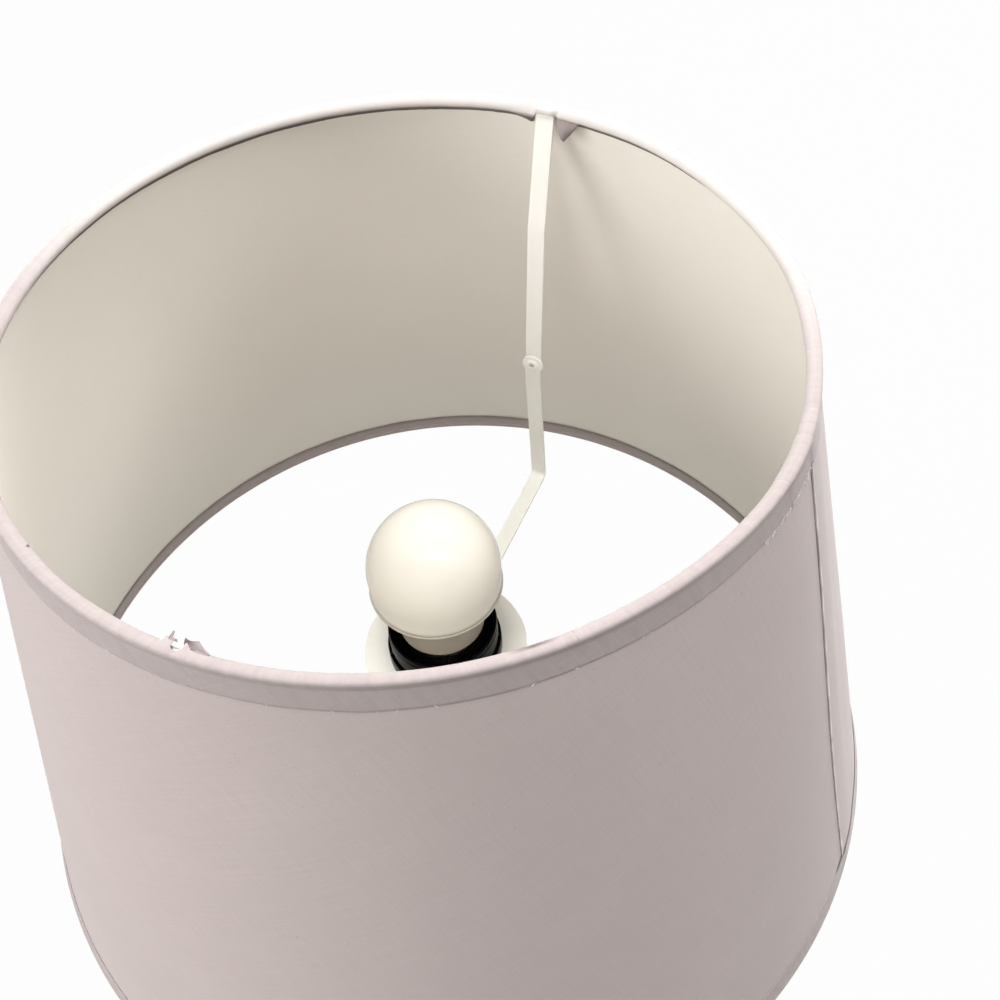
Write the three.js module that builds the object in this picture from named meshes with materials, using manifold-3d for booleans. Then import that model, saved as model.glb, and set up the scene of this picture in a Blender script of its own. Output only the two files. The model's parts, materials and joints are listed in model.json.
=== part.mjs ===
// Table lamp: a tapered cloth shade that tilts on a riveted strip carrier,
// a black lampholder with a globe bulb, and a plain stem on a weighted foot.
// Millimetres, +Z up. The origin is the centre of the foot's underside.
import * as THREE from 'three';
import { mergeVertices } from 'three/addons/utils/BufferGeometryUtils.js';
import Module from 'manifold-3d';

const wasm = await Module();
wasm.setup();

// Clearances
const seatGap = 0.3; // between two pieces that rest on or fit each other
const layerGap = 0.2; // between the bonded layers of the shade

// Shade
const topRingRadius = 100; // centre line of the upper wire
const bottomRingRadius = 149; // centre line of the lower wire
const shadeHeight = 195.5; // between the two wires
const wireRadius = 1;
const linerThickness = 0.35;
const fabricThickness = 0.35;
const hemOutside = 7; // width of the hem's outer leg
const topHemInside = 2.4; // width of the top hem's inner leg
const bottomHemInside = 6.8; // width of the bottom hem's inner leg
const hemRollLength = 3; // from the wire to where the outer leg lies flat
const seamAzimuth = -35.8; // degrees from +X to the upper layer's cut edge
const seamOverlap = 9;
const hemNotchMargin = 0.7; // cloth cut away each side of a hanger

// Strip carrier, with heights above the lower wire
const carrierAzimuth = 57; // degrees from +X to the tilt axis
const hangerLeans = [0, 1.65]; // degrees that each hanger stands off plumb at its rivet
const stripWidth = 5.7;
const stripThickness = 1;
const stripBend = 2; // inside radius where a strip is bent
const tiltHeight = 105.5; // of the rivets
const pivotRadius = 84.65; // from the shade's axis to the joint between the strips
const kneeRadius = 89.8; // of the bend in a hanger
const kneeHeight = 159;
const hangerTopRise = 1.3; // of a hanger's end above the upper wire
const hangerWeldLength = 3.3; // straight stretch along the upper wire
const pivotFlat = 8; // straight stretch each side of the rivet
const eyeRadius = 3.8; // rounded end of a yoke arm
const elbowRadius = 87.2; // of the bend in a yoke arm
const rivetRadius = 1.5;
const rivetHeadRadius = 2.3;
const rivetHeadThickness = 0.8;
const rivetHeadEdge = 0.4; // height and width of the round on a rivet's head
const rivetBore = 0.8;
const rivetBoreDepth = 2.2;
const discRadius = 28.7;
const discThickness = 1.2;

// Lampholder, with heights above the lower wire
const mouthHeight = 60.4;
const mouthRadius = 17.3;
const mouthDepth = 9.8;
const lipRound = 1.2; // radius of the lip's outer edge
const threadLead = 0.8; // depth of the bevel into the thread
const shoulderHeight = 42.7;
const neckRadius = 18.9;
const shoulderRadius = 21.3;
const shoulderDepth = 4.5;
const shellFootRadius = 20.2;
const shellFootHeight = 19;
const holderWall = 1.9;
const threadZoneHeight = 45.3; // of the foot of the moulded thread
const collarHeight = 5.8;
const collarTopRadius = 19.8;
const collarFootRadius = 20;
const collarChamfer = 0.2;
const capBaseRadius = 9;
const capWaistHeight = 7.5; // of the cap's widest curve above its base
const insulatorThickness = 12;
const insulatorInset = 0.5; // of the insulator above the shell's foot
const springThickness = 0.4;
const springWidth = 6;
const springRoot = 11; // from the axis to the centre contact's fixed end
const springRise = 5; // from the axis to where the centre contact leaves the insulator
const sideContactWidth = 5;
const sideContactRoot = 3.6; // length of the side contact's fixed end
const terminalScrewRadius = 1.7;
const terminalScrewLength = 4.5;
const terminalScrewOffset = 9.5;
const terminalWellDepth = 5.4;
const screwSlotWidth = 0.6;
const screwSlotDepth = 0.5;

// Bulb, with heights above the lower wire
const globeRadius = 21.6;
const globeHeight = 92.15; // of the dome's centre
const globeWall = 1.2;
const globeSkirt = 7.8; // straight stretch from the dome down to the diffuser's rim
const housingRimRadius = 21.9;
const housingRimThickness = 1;
const housingRimChamfer = 0.3;
const flankTurn = 13; // from the neck's foot up to where the housing's side turns outward
const bulbNeckRadius = 14.6;
const bulbNeckFoot = 62;
const screwCapRadius = 13.05;
const screwCapWall = 0.5;
const screwCapFoot = 43; // of the cylindrical part
const screwCapBaseRadius = 10;
const screwCapCone = 3.8; // height of the cone below it
const bulbTipRadius = 4.5;
const bulbTipHeight = 34.6;
const bulbTipThickness = 1.1;
const bulbTipCrown = 0.6; // height of the solder's rounded edge
const boardThickness = 1.6;

// Stand, with heights above the floor
const shadeLift = 230; // of the lower wire
const footRadius = 84;
const footEdge = 7; // upright edge of the foot cover
const footHeight = 23;
const footShoulder = 7; // how far the cover's curve keeps upright above its edge
const footSweep = 42; // how far the cover's curve keeps flat towards its edge
const footFlatRadius = 14; // of the flat under the stem
const coverWall = 1.2;
const coverLift = 1;
const padThickness = 2;
const weightThickness = 8;
const weightInset = 6; // of the weight's edge from the cover's
const nutRecessRadius = 14;
const nutRecessDepth = 6.5;
const stemRadius = 8;
const stemWall = 1.2;
const threadedRadius = 4.9;
const threadedBore = 3.6;
const threadedTail = 3.6; // of the threaded tube's lower end
const threadedHead = 7.9; // of its upper end above the lampholder's base
const seatRingRadius = 11;
const seatRingThickness = 3.5;
const seatRingFlare = 1.9; // height of the seat ring's slanted side
const seatRingChamfer = 0.6;
const nutAcross = 14; // across the flats
const nutThickness = 3;
const washerRadius = 10;
const washerThickness = 1;
const glandHeight = 7;
const glandRadius = 3.2;
const glandBore = 2;
const glandFlangeRadius = 4.6;
const glandFlangeThickness = 2;
const glandChamfer = 0.6;
const glandLength = 11;
const glandPocketMargin = 2; // cut from the weight each side of the gland
const cordGrooveWidth = 9;

// Facets round each turned form
const shadeSides = 60;
const wireSides = 5;
const holderSides = 32;
const bulbSides = 32;
const screwCapSides = 24;
const footSides = 36;
const smallSides = 18;
const rivetSides = 12;
const hemArcSteps = 3;
const domeSteps = 8;
const bendStep = 25; // degrees to each facet of a bent strip

const degree = Math.PI / 180;
const mergeTolerance = 1e-4;
const throughCut = 1; // how far a cutting solid passes the face that it opens

const finishes = {
  cloth: { color: 0xb3a7a6, roughness: 0.9, metalness: 0 },
  hem: { color: 0xa89b9a, roughness: 0.9, metalness: 0 },
  liner: { color: 0xe3dace, roughness: 0.6, metalness: 0 },
  wire: { color: 0xdedbd5, roughness: 0.5, metalness: 0.6 },
  whitePaint: { color: 0xece7dc, roughness: 0.4, metalness: 0 },
  blackGloss: { color: 0x121313, roughness: 0.2, metalness: 0 },
  blackSatin: { color: 0x1b1b1c, roughness: 0.45, metalness: 0 },
  diffuser: { color: 0xf6f0e6, roughness: 0.15, metalness: 0 },
  whitePlastic: { color: 0xd8d2c8, roughness: 0.35, metalness: 0 },
  nickel: { color: 0xb9b6ae, roughness: 0.3, metalness: 1 },
  brass: { color: 0xc6a664, roughness: 0.35, metalness: 1 },
  board: { color: 0xd9dad8, roughness: 0.5, metalness: 0.4 },
  castIron: { color: 0x3b3b3c, roughness: 0.8, metalness: 0.5 },
  felt: { color: 0x262626, roughness: 1, metalness: 0 },
};

function addPiece(group, name, geometry, finish) {
  const piece = new THREE.Mesh(geometry, new THREE.MeshStandardMaterial(finishes[finish]));
  piece.name = name;
  group.add(piece);
  return piece;
}

// A closed outline of [radius, height] points turned round +Z
function turned(outline, sides) {
  const points = outline.map(([radius, height]) => new THREE.Vector2(radius, height));
  if (outline[0][0] > 0) points.push(points[0].clone());
  return new THREE.LatheGeometry(points, sides).rotateX(Math.PI / 2);
}

// A flat ring from one height to another
function ring(outer, inner, low, high, sides) {
  return turned([[outer, low], [outer, high], [inner, high], [inner, low]], sides);
}

function disc(radius, low, high, sides) {
  return turned([[0, low], [radius, low], [radius, high], [0, high]], sides);
}

// A shape drawn in radius and height, pushed through the thickness across +Y
function plate(shape, width) {
  const options = { depth: width, bevelEnabled: false };
  return new THREE.ExtrudeGeometry(shape, options).translate(0, 0, -width / 2).rotateX(Math.PI / 2);
}

// A shape drawn in Y and height, pushed along +X from one radius to another
function pushedOutward(shape, from, to) {
  const options = { depth: to - from, bevelEnabled: false, curveSegments: rivetSides / 2 };
  const geometry = new THREE.ExtrudeGeometry(shape, options).translate(0, 0, from);
  return geometry.applyMatrix4(new THREE.Matrix4().makeBasis(
    new THREE.Vector3(0, 1, 0),
    new THREE.Vector3(0, 0, 1),
    new THREE.Vector3(1, 0, 0),
  ));
}

function toSolid(geometry) {
  const bare = geometry.clone();
  bare.deleteAttribute('normal');
  bare.deleteAttribute('uv');
  const merged = mergeVertices(bare, mergeTolerance);
  return new wasm.Manifold(new wasm.Mesh({
    numProp: 3,
    vertProperties: new Float32Array(merged.attributes.position.array),
    triVerts: new Uint32Array(merged.index.array),
  }));
}

function toGeometry(solid) {
  const mesh = solid.getMesh();
  const geometry = new THREE.BufferGeometry();
  geometry.setAttribute('position', new THREE.BufferAttribute(mesh.vertProperties, 3));
  geometry.setIndex(new THREE.BufferAttribute(mesh.triVerts, 1));
  return geometry;
}

function cut(geometry, ...tools) {
  return toGeometry(tools.reduce((solid, tool) => solid.subtract(toSolid(tool)), toSolid(geometry)));
}

function common(first, second) {
  return toGeometry(toSolid(first).intersect(toSolid(second)));
}

// Points of a round arc in the plane of an outline
function arc(centreX, centreY, radius, from, to, steps) {
  return Array.from({ length: steps + 1 }, (_, i) => {
    const angle = (from + (to - from) * i / steps) * degree;
    return [centreX + radius * Math.cos(angle), centreY + radius * Math.sin(angle)];
  });
}

function curvePoints(curve, steps) {
  return curve.getPoints(steps).map((point) => [point.x, point.y]);
}

// Shade

const wallTilt = Math.atan2(bottomRingRadius - topRingRadius, shadeHeight);
const wallLength = Math.hypot(bottomRingRadius - topRingRadius, shadeHeight);
const linerInner = -(linerThickness + fabricThickness + layerGap) / 2;
const linerOuter = linerInner + linerThickness;
const fabricInner = linerOuter + layerGap;
const fabricOuter = fabricInner + fabricThickness;
const hemInner = wireRadius + layerGap;
const hemOuter = hemInner + fabricThickness;

// The point of the cone wall a distance down from the upper wire, and out from the wires' line
function wallPoint(down, out) {
  return [
    topRingRadius + down * Math.sin(wallTilt) + out * Math.cos(wallTilt),
    shadeHeight - down * Math.cos(wallTilt) + out * Math.sin(wallTilt),
  ];
}

function makeWire(down) {
  const [radius, height] = wallPoint(down, 0);
  return turned(arc(radius, height, wireRadius, 0, 360 - 360 / wireSides, wireSides - 1), shadeSides);
}

function makeLiner() {
  const margin = wireRadius + layerGap;
  return turned([
    wallPoint(wallLength - margin, linerInner),
    wallPoint(wallLength - margin, linerOuter),
    wallPoint(margin, linerOuter),
    wallPoint(margin, linerInner),
  ], shadeSides);
}

// The cloth panel is one sheet rolled round the liner, whose start laps over its end.
// Between its ends its facets line up with the liner's.
function makeFabric() {
  const top = hemOutside + layerGap;
  const bottom = wallLength - hemOutside - layerGap;
  const lap = seamOverlap / ((topRingRadius + bottomRingRadius) / 2);
  const step = 2 * Math.PI / shadeSides;
  const full = 2 * Math.PI;
  const start = seamAzimuth * degree;
  const firstCorner = Math.ceil((start + lap) / step + 0.25) * step;
  const azimuths = [start, start + lap];
  for (let azimuth = firstCorner; azimuth < start + full - step / 2; azimuth += step) azimuths.push(azimuth);
  azimuths.push(start + full, start + full + lap);
  const positions = [];
  for (const azimuth of azimuths) {
    const lift = azimuth <= start + lap ? fabricThickness + layerGap : 0;
    const corners = [[bottom, fabricInner], [bottom, fabricOuter], [top, fabricOuter], [top, fabricInner]];
    for (const [down, out] of corners) {
      const [radius, height] = wallPoint(down, out + lift);
      positions.push(radius * Math.cos(azimuth), radius * Math.sin(azimuth), height);
    }
  }
  const faces = [0, 1, 2, 0, 2, 3];
  for (let i = 0; i < azimuths.length - 1; i += 1) {
    for (let side = 0; side < 4; side += 1) {
      const a = 4 * i + side;
      const b = 4 * i + (side + 1) % 4;
      faces.push(a, b + 4, b, a, a + 4, b + 4);
    }
  }
  const last = 4 * (azimuths.length - 1);
  faces.push(last, last + 2, last + 1, last, last + 3, last + 2);
  const geometry = new THREE.BufferGeometry();
  geometry.setAttribute('position', new THREE.Float32BufferAttribute(positions, 3));
  geometry.setIndex(faces);
  return geometry;
}

// A hem of the same cloth: an outer leg, a roll round the wire and an inner leg.
// Its outline is drawn along the wall from the wire, then placed at either end.
function hemOutline(insideLeg, place) {
  const innerLegOut = linerInner - layerGap;
  const outside = [
    [hemOutside, fabricOuter],
    [hemRollLength, fabricOuter],
    ...arc(0, 0, hemOuter, 90, 270, hemArcSteps),
    [insideLeg, innerLegOut - fabricThickness],
  ];
  const inside = [
    [insideLeg, innerLegOut],
    ...arc(0, 0, hemInner, 270, 90, hemArcSteps),
    [hemRollLength, fabricInner],
    [hemOutside, fabricInner],
  ];
  return [...outside, ...inside].map(([along, out]) => place(along, out));
}

// The top hem is cut away inside the wire, where each hanger is welded on
function makeTopHem() {
  const outline = hemOutline(topHemInside, (along, out) => wallPoint(along, out));
  const hem = turned(outline, shadeSides);
  const width = stripWidth + 2 * hemNotchMargin;
  const outer = topRingRadius - wireRadius + layerGap;
  const depth = topHemInside + hemOuter + seatGap;
  const notches = hangerLeans.map((lean, i) => {
    const sideways = (shadeHeight - tiltHeight) * Math.sin(lean * degree);
    const notch = new THREE.BoxGeometry(2 * depth, width, 2 * depth);
    notch.translate(outer - depth, 0, shadeHeight);
    return notch.rotateZ((carrierAzimuth + 180 * i) * degree + Math.atan2(sideways, topRingRadius));
  });
  return cut(hem, ...notches);
}

function makeBottomHem() {
  const place = (along, out) => wallPoint(wallLength - along, out);
  return turned(hemOutline(bottomHemInside, place).reverse(), shadeSides);
}

// Strip carrier

// The outline of a strip that follows a line of [radius, height] points and is bent at each
function stripOutline(line, thickness) {
  const centreBend = stripBend + thickness / 2;
  const middle = [];
  line.forEach(([x, y], i) => {
    const here = new THREE.Vector2(x, y);
    if (i === 0 || i === line.length - 1) {
      middle.push(here);
      return;
    }
    const before = new THREE.Vector2(...line[i - 1]).sub(here).normalize();
    const after = new THREE.Vector2(...line[i + 1]).sub(here).normalize();
    const opening = Math.acos(THREE.MathUtils.clamp(before.dot(after), -1, 1));
    const reach = centreBend / Math.tan(opening / 2);
    const middleWay = before.clone().add(after).normalize();
    const centre = here.clone().addScaledVector(middleWay, centreBend / Math.sin(opening / 2));
    const from = here.clone().addScaledVector(before, reach).sub(centre);
    const to = here.clone().addScaledVector(after, reach).sub(centre);
    const sweep = Math.atan2(from.cross(to), from.dot(to));
    const steps = Math.max(1, Math.round(Math.abs(sweep) / (bendStep * degree)));
    for (let k = 0; k <= steps; k += 1) {
      middle.push(from.clone().rotateAround(new THREE.Vector2(), sweep * k / steps).add(centre));
    }
  });
  const offset = (side) => middle.map((point, i) => {
    const next = middle[Math.min(i + 1, middle.length - 1)];
    const previous = middle[Math.max(i - 1, 0)];
    const normal = next.clone().sub(previous).normalize().rotateAround(new THREE.Vector2(), Math.PI / 2);
    return point.clone().addScaledVector(normal, side * thickness / 2);
  });
  return new THREE.Shape([...offset(1), ...offset(-1).reverse()]);
}

const hangerPivotLine = pivotRadius + seatGap / 2 + stripThickness / 2;
const yokePivotLine = pivotRadius - seatGap / 2 - stripThickness / 2;
const hangerWeldLine = topRingRadius - wireRadius - seatGap - stripThickness / 2;
const rivetHole = rivetRadius + seatGap;
const discFoot = shoulderHeight + seatGap;
const strapLine = discFoot - seatGap - stripThickness / 2;
const strapEnd = shoulderRadius + 2 * seatGap;

// The upper strip: welded inside the top ring, bent inward, then down past the rivet
function makeHanger(lean) {
  const endRadius = stripWidth / 2;
  const top = shadeHeight + hangerTopRise;
  const side = stripOutline([
    [hangerWeldLine, top],
    [hangerWeldLine, top - hangerWeldLength],
    [kneeRadius, kneeHeight],
    [hangerPivotLine, tiltHeight + pivotFlat],
    [hangerPivotLine, tiltHeight - endRadius],
  ], stripThickness);
  const front = new THREE.Shape();
  front.moveTo(endRadius, top);
  front.lineTo(-endRadius, top);
  front.lineTo(-endRadius, tiltHeight);
  front.absarc(0, tiltHeight, endRadius, Math.PI, 2 * Math.PI, false);
  front.closePath();
  front.holes.push(new THREE.Path().absarc(0, tiltHeight, rivetHole, 0, 2 * Math.PI, true));
  const reach = topRingRadius - pivotRadius;
  const outward = pushedOutward(front, pivotRadius - reach, topRingRadius + reach);
  const strip = common(plate(side, 2 * eyeRadius), outward);
  return strip.translate(0, 0, -tiltHeight).rotateX(-lean * degree).translate(0, 0, tiltHeight);
}

// The lower strip: an eye at the rivet, down to the elbow, then in to the disc
function makeYokeArm() {
  const half = stripWidth / 2;
  const side = stripOutline([
    [yokePivotLine, tiltHeight + eyeRadius],
    [yokePivotLine, tiltHeight - pivotFlat],
    [elbowRadius, strapLine],
    [strapEnd, strapLine],
  ], stripThickness);
  const eyeMeets = Math.asin(half / eyeRadius);
  const front = new THREE.Shape();
  const foot = strapLine - stripThickness;
  front.moveTo(-half, foot);
  front.lineTo(half, foot);
  front.lineTo(half, tiltHeight - eyeRadius * Math.cos(eyeMeets));
  front.absarc(0, tiltHeight, eyeRadius, eyeMeets - Math.PI / 2, 1.5 * Math.PI - eyeMeets, false);
  front.closePath();
  front.holes.push(new THREE.Path().absarc(0, tiltHeight, rivetHole, 0, 2 * Math.PI, true));
  return common(plate(side, 2 * eyeRadius), pushedOutward(front, 0, elbowRadius + eyeRadius));
}

// A tubular rivet along +X: its pressed head faces the shade's axis
function makeRivet() {
  const headFace = yokePivotLine - stripThickness / 2 - seatGap;
  const tailFace = hangerPivotLine + stripThickness / 2 + seatGap;
  const headTop = headFace - rivetHeadThickness;
  const tailTop = tailFace + rivetHeadThickness;
  const outline = [
    [rivetBore, headTop + rivetBoreDepth],
    [rivetBore, headTop],
    [rivetHeadRadius - rivetHeadEdge, headTop],
    [rivetHeadRadius, headTop + rivetHeadEdge],
    [rivetHeadRadius, headFace],
    [rivetRadius, headFace],
    [rivetRadius, tailFace],
    [rivetHeadRadius, tailFace],
    [rivetHeadRadius - rivetHeadEdge, tailTop],
    [0, tailTop],
  ];
  const rivet = turned([[0, headTop + rivetBoreDepth], ...outline], rivetSides);
  return rivet.rotateY(Math.PI / 2).translate(0, 0, tiltHeight);
}

function makeCarrierDisc() {
  return ring(discRadius, neckRadius + seatGap, discFoot, discFoot + discThickness, holderSides);
}

// Lampholder

const springFoot = shellFootHeight + insulatorInset + insulatorThickness;
const innerShell = shellFootRadius - holderWall;
const threadZoneRadius = screwCapRadius + 2 * seatGap;

// The shell has a shoulder for the disc, a neck for the collar nut and an open mouth
function makeHolderShell() {
  return turned([
    [shellFootRadius, shellFootHeight],
    [shoulderRadius, shoulderHeight - shoulderDepth],
    [shoulderRadius, shoulderHeight],
    [neckRadius, shoulderHeight],
    ...arc(neckRadius - lipRound, mouthHeight - lipRound, lipRound, 0, 90, 2),
    [mouthRadius, mouthHeight],
    [mouthRadius, mouthHeight - mouthDepth],
    [threadZoneRadius, mouthHeight - mouthDepth - threadLead],
    [threadZoneRadius, threadZoneHeight],
    [innerShell - seatGap, threadZoneHeight - holderWall],
    [innerShell, shellFootHeight],
  ], holderSides);
}

function makeCollarNut() {
  const foot = discFoot + discThickness + seatGap;
  const top = foot + collarHeight;
  const bore = neckRadius + seatGap;
  return turned([
    [collarFootRadius - collarChamfer, foot],
    [collarFootRadius, foot + collarChamfer],
    [collarTopRadius, top - collarChamfer],
    [collarTopRadius - collarChamfer, top],
    [bore, top],
    [bore, foot],
  ], holderSides);
}

function makeHolderCap() {
  const top = shellFootHeight - seatGap;
  const wall = holderWall;
  return turned([
    [threadedRadius + seatGap, 0],
    [capBaseRadius, 0],
    [shellFootRadius - wall / 2, capWaistHeight],
    [shellFootRadius, top],
    [innerShell, top],
    [innerShell - wall / 2, capWaistHeight + wall / 2],
    [capBaseRadius, wall],
    [threadedRadius + seatGap, wall],
  ], holderSides);
}

// The insulator carries the contacts and has a well for each terminal screw
function makeContactInsulator() {
  const low = shellFootHeight + insulatorInset;
  const body = disc(innerShell - 2 * seatGap, low, springFoot, holderSides);
  const wells = [-1, 1].map((side) => {
    const well = disc(terminalScrewRadius + seatGap, low - throughCut, low + terminalWellDepth, smallSides);
    return well.translate(side * terminalScrewOffset, 0, 0);
  });
  return cut(body, ...wells);
}

// A sprung tongue that rises from the insulator to the bulb's tip
function makeCentreContact() {
  const line = springThickness / 2 + seatGap + springFoot;
  const tipLine = bulbTipHeight - seatGap - springThickness / 2;
  return plate(stripOutline([
    [springRoot, line],
    [springRise, line],
    [0, tipLine],
    [-bulbTipRadius, tipLine],
  ], springThickness), springWidth);
}

// A tongue on the insulator that stands up beside the screw cap
function makeSideContact() {
  const line = springThickness / 2 + seatGap + springFoot;
  const stand = screwCapRadius + seatGap + springThickness / 2;
  return plate(stripOutline([
    [stand - sideContactRoot, line],
    [stand, line],
    [stand, threadZoneHeight - 2 * seatGap],
  ], springThickness), sideContactWidth).rotateZ(Math.PI / 2);
}

function makeTerminalScrew(side) {
  const low = shellFootHeight + insulatorInset;
  const slot = new THREE.BoxGeometry(3 * terminalScrewRadius, screwSlotWidth, 2 * screwSlotDepth);
  const screw = disc(terminalScrewRadius, low, low + terminalScrewLength, smallSides);
  return cut(screw, slot.translate(0, 0, low)).translate(side * terminalScrewOffset, 0, 0);
}

// Bulb

const globeRim = globeHeight - globeSkirt;
const housingTop = globeRim - seatGap;
const housingRimFoot = housingTop - housingRimThickness;
const boardRadius = globeRadius - globeWall - seatGap;

// The opal diffuser: a dome on a straight skirt, open below where it meets the housing
function makeBulbGlobe() {
  const inner = globeRadius - globeWall;
  return turned([
    [globeRadius, globeRim],
    ...arc(0, globeHeight, globeRadius, 0, 90, domeSteps),
    ...arc(0, globeHeight, inner, 90, 0, domeSteps - 2),
    [inner, globeRim],
  ].map(([radius, height]) => [Math.max(radius, 0), height]), bulbSides);
}

// The housing: a spigot in the screw cap, a side that flares like a trumpet,
// a rim under the diffuser and a seat for the board
function makeBulbHousing() {
  const spigot = screwCapRadius - screwCapWall - seatGap;
  const boardFloor = housingTop - boardThickness - seatGap;
  const rimInset = housingRimRadius - housingRimChamfer;
  const flank = new THREE.QuadraticBezierCurve(
    new THREE.Vector2(bulbNeckRadius, bulbNeckFoot),
    new THREE.Vector2(bulbNeckRadius, bulbNeckFoot + flankTurn),
    new THREE.Vector2(rimInset, housingRimFoot),
  );
  return turned([
    [0, screwCapFoot + seatGap],
    [spigot, screwCapFoot + seatGap],
    [spigot, bulbNeckFoot],
    ...curvePoints(flank, 3),
    [housingRimRadius, housingRimFoot + housingRimChamfer],
    [housingRimRadius, housingTop - housingRimChamfer],
    [rimInset, housingTop],
    [boardRadius + seatGap, housingTop],
    [boardRadius + seatGap, boardFloor],
    [0, boardFloor],
  ], bulbSides);
}

function makeLedBoard() {
  return disc(boardRadius, housingTop - boardThickness, housingTop, screwCapSides);
}

// The metal screw cap, open above for the housing and below for the insulator
function makeScrewCap() {
  const top = bulbNeckFoot - seatGap;
  const foot = screwCapFoot - screwCapCone;
  return turned([
    [screwCapRadius, screwCapFoot],
    [screwCapRadius, top],
    [screwCapRadius - screwCapWall, top],
    [screwCapRadius - screwCapWall, screwCapFoot],
    [screwCapBaseRadius, foot + screwCapWall],
    [screwCapBaseRadius, foot],
    [screwCapBaseRadius + 2 * screwCapWall, foot],
  ], screwCapSides);
}

function makeCapInsulator() {
  const low = bulbTipHeight + bulbTipThickness + seatGap;
  const top = screwCapFoot - screwCapCone;
  return turned([
    [0, low],
    [bulbTipRadius + throughCut, low],
    [screwCapBaseRadius - seatGap, top - seatGap],
    [screwCapBaseRadius - seatGap, top + screwCapWall],
    [0, top + screwCapWall],
  ], screwCapSides);
}

function makeBulbTip() {
  const crown = bulbTipHeight + bulbTipCrown;
  return turned([
    [0, bulbTipHeight],
    [bulbTipRadius - 2 * bulbTipCrown, bulbTipHeight + bulbTipCrown / 4],
    [bulbTipRadius, crown],
    [bulbTipRadius, bulbTipHeight + bulbTipThickness],
    [0, bulbTipHeight + bulbTipThickness],
  ], screwCapSides);
}

// Stand

const weightFoot = padThickness + seatGap;
const weightTop = weightFoot + weightThickness;
const weightRadius = footRadius - weightInset;
const stemFoot = footHeight + seatGap;
const seatRingFoot = shadeLift - seatGap - seatRingThickness;
const stemTop = seatRingFoot - seatGap;
const threadedClear = threadedRadius + seatGap;
const washerTop = weightFoot + nutRecessDepth - seatGap;
const nutTop = washerTop - washerThickness - seatGap;

// The cover's side, from its upright edge up to the flat under the stem
function footProfile(inset) {
  const radius = footRadius - inset;
  const top = footHeight - inset;
  const edge = coverLift + footEdge;
  return curvePoints(new THREE.CubicBezierCurve(
    new THREE.Vector2(radius, edge),
    new THREE.Vector2(radius, edge + footShoulder),
    new THREE.Vector2(footFlatRadius + footSweep, top - footShoulder),
    new THREE.Vector2(footFlatRadius, top),
  ), 5);
}

function glandCylinder(radius, from, to) {
  const cylinder = new THREE.CylinderGeometry(radius, radius, to - from, smallSides);
  return cylinder.translate(0, (from + to) / 2, glandHeight);
}

// A spun cover that stands over the weight and takes the cord gland at the back
function makeFootCover() {
  const cover = turned([
    [footRadius, coverLift],
    ...footProfile(0),
    [threadedClear, footHeight],
    [threadedClear, footHeight - coverWall],
    ...footProfile(coverWall).reverse(),
    [footRadius - coverWall, coverLift],
  ], footSides);
  return cut(cover, glandCylinder(glandRadius + seatGap, footRadius - glandLength, footRadius + throughCut));
}

// The cast weight, with a recess for the nut, a groove for the wires and a pocket for the gland
function makeFootWeight() {
  const body = ring(weightRadius, threadedClear, weightFoot, weightTop, footSides);
  const recess = disc(nutRecessRadius, weightFoot - throughCut, weightFoot + nutRecessDepth, smallSides);
  const groove = new THREE.BoxGeometry(cordGrooveWidth, weightRadius + throughCut, 2 * nutRecessDepth);
  groove.translate(0, (weightRadius + throughCut) / 2, weightFoot);
  const pocketWidth = 2 * (glandRadius + glandPocketMargin);
  const pocket = new THREE.BoxGeometry(pocketWidth, 2 * glandLength, 4 * weightThickness);
  return cut(body, recess, groove, pocket.translate(0, weightRadius, weightFoot));
}

function makeFeltPad() {
  return disc(footRadius - coverWall - seatGap, 0, padThickness, footSides);
}

function makeStemTube() {
  return ring(stemRadius, stemRadius - stemWall, stemFoot, stemTop, smallSides);
}

function makeSeatRing() {
  const top = seatRingFoot + seatRingThickness;
  return turned([
    [stemRadius, seatRingFoot],
    [seatRingRadius, seatRingFoot + seatRingFlare],
    [seatRingRadius, top - seatRingChamfer],
    [seatRingRadius - seatRingChamfer, top],
    [threadedClear, top],
    [threadedClear, seatRingFoot],
  ], smallSides);
}

function makeThreadedTube() {
  return ring(threadedRadius, threadedBore, threadedTail, shadeLift + threadedHead, smallSides);
}

function makeFootWasher() {
  return ring(washerRadius, threadedClear, washerTop - washerThickness, washerTop, smallSides);
}

function makeFootNut() {
  const corners = arc(0, 0, nutAcross / Math.sqrt(3), 0, 300, 5);
  const hexagon = new THREE.Shape(corners.map(([x, y]) => new THREE.Vector2(x, y)));
  hexagon.holes.push(new THREE.Path().absarc(0, 0, threadedClear, 0, 2 * Math.PI, true));
  const options = { depth: nutThickness, bevelEnabled: false, curveSegments: smallSides / 2 };
  return new THREE.ExtrudeGeometry(hexagon, options).translate(0, 0, nutTop - nutThickness);
}

function makeCordGland() {
  const seat = footRadius + seatGap;
  const outline = [
    [glandBore, seat - glandLength],
    [glandRadius, seat - glandLength],
    [glandRadius, seat],
    [glandFlangeRadius, seat],
    [glandFlangeRadius - glandChamfer, seat + glandFlangeThickness],
    [glandBore, seat + glandFlangeThickness],
  ];
  return turned(outline, smallSides).rotateX(-Math.PI / 2).translate(0, 0, glandHeight);
}

const lamp = new THREE.Group();
const head = new THREE.Group();
head.position.z = shadeLift;
lamp.add(head);

addPiece(head, 'shade_fabric', makeFabric(), 'cloth');
addPiece(head, 'shade_liner', makeLiner(), 'liner');
addPiece(head, 'top_hem', makeTopHem(), 'hem');
addPiece(head, 'bottom_hem', makeBottomHem(), 'hem');
addPiece(head, 'top_ring', makeWire(0), 'wire');
addPiece(head, 'bottom_ring', makeWire(wallLength), 'wire');

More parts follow.
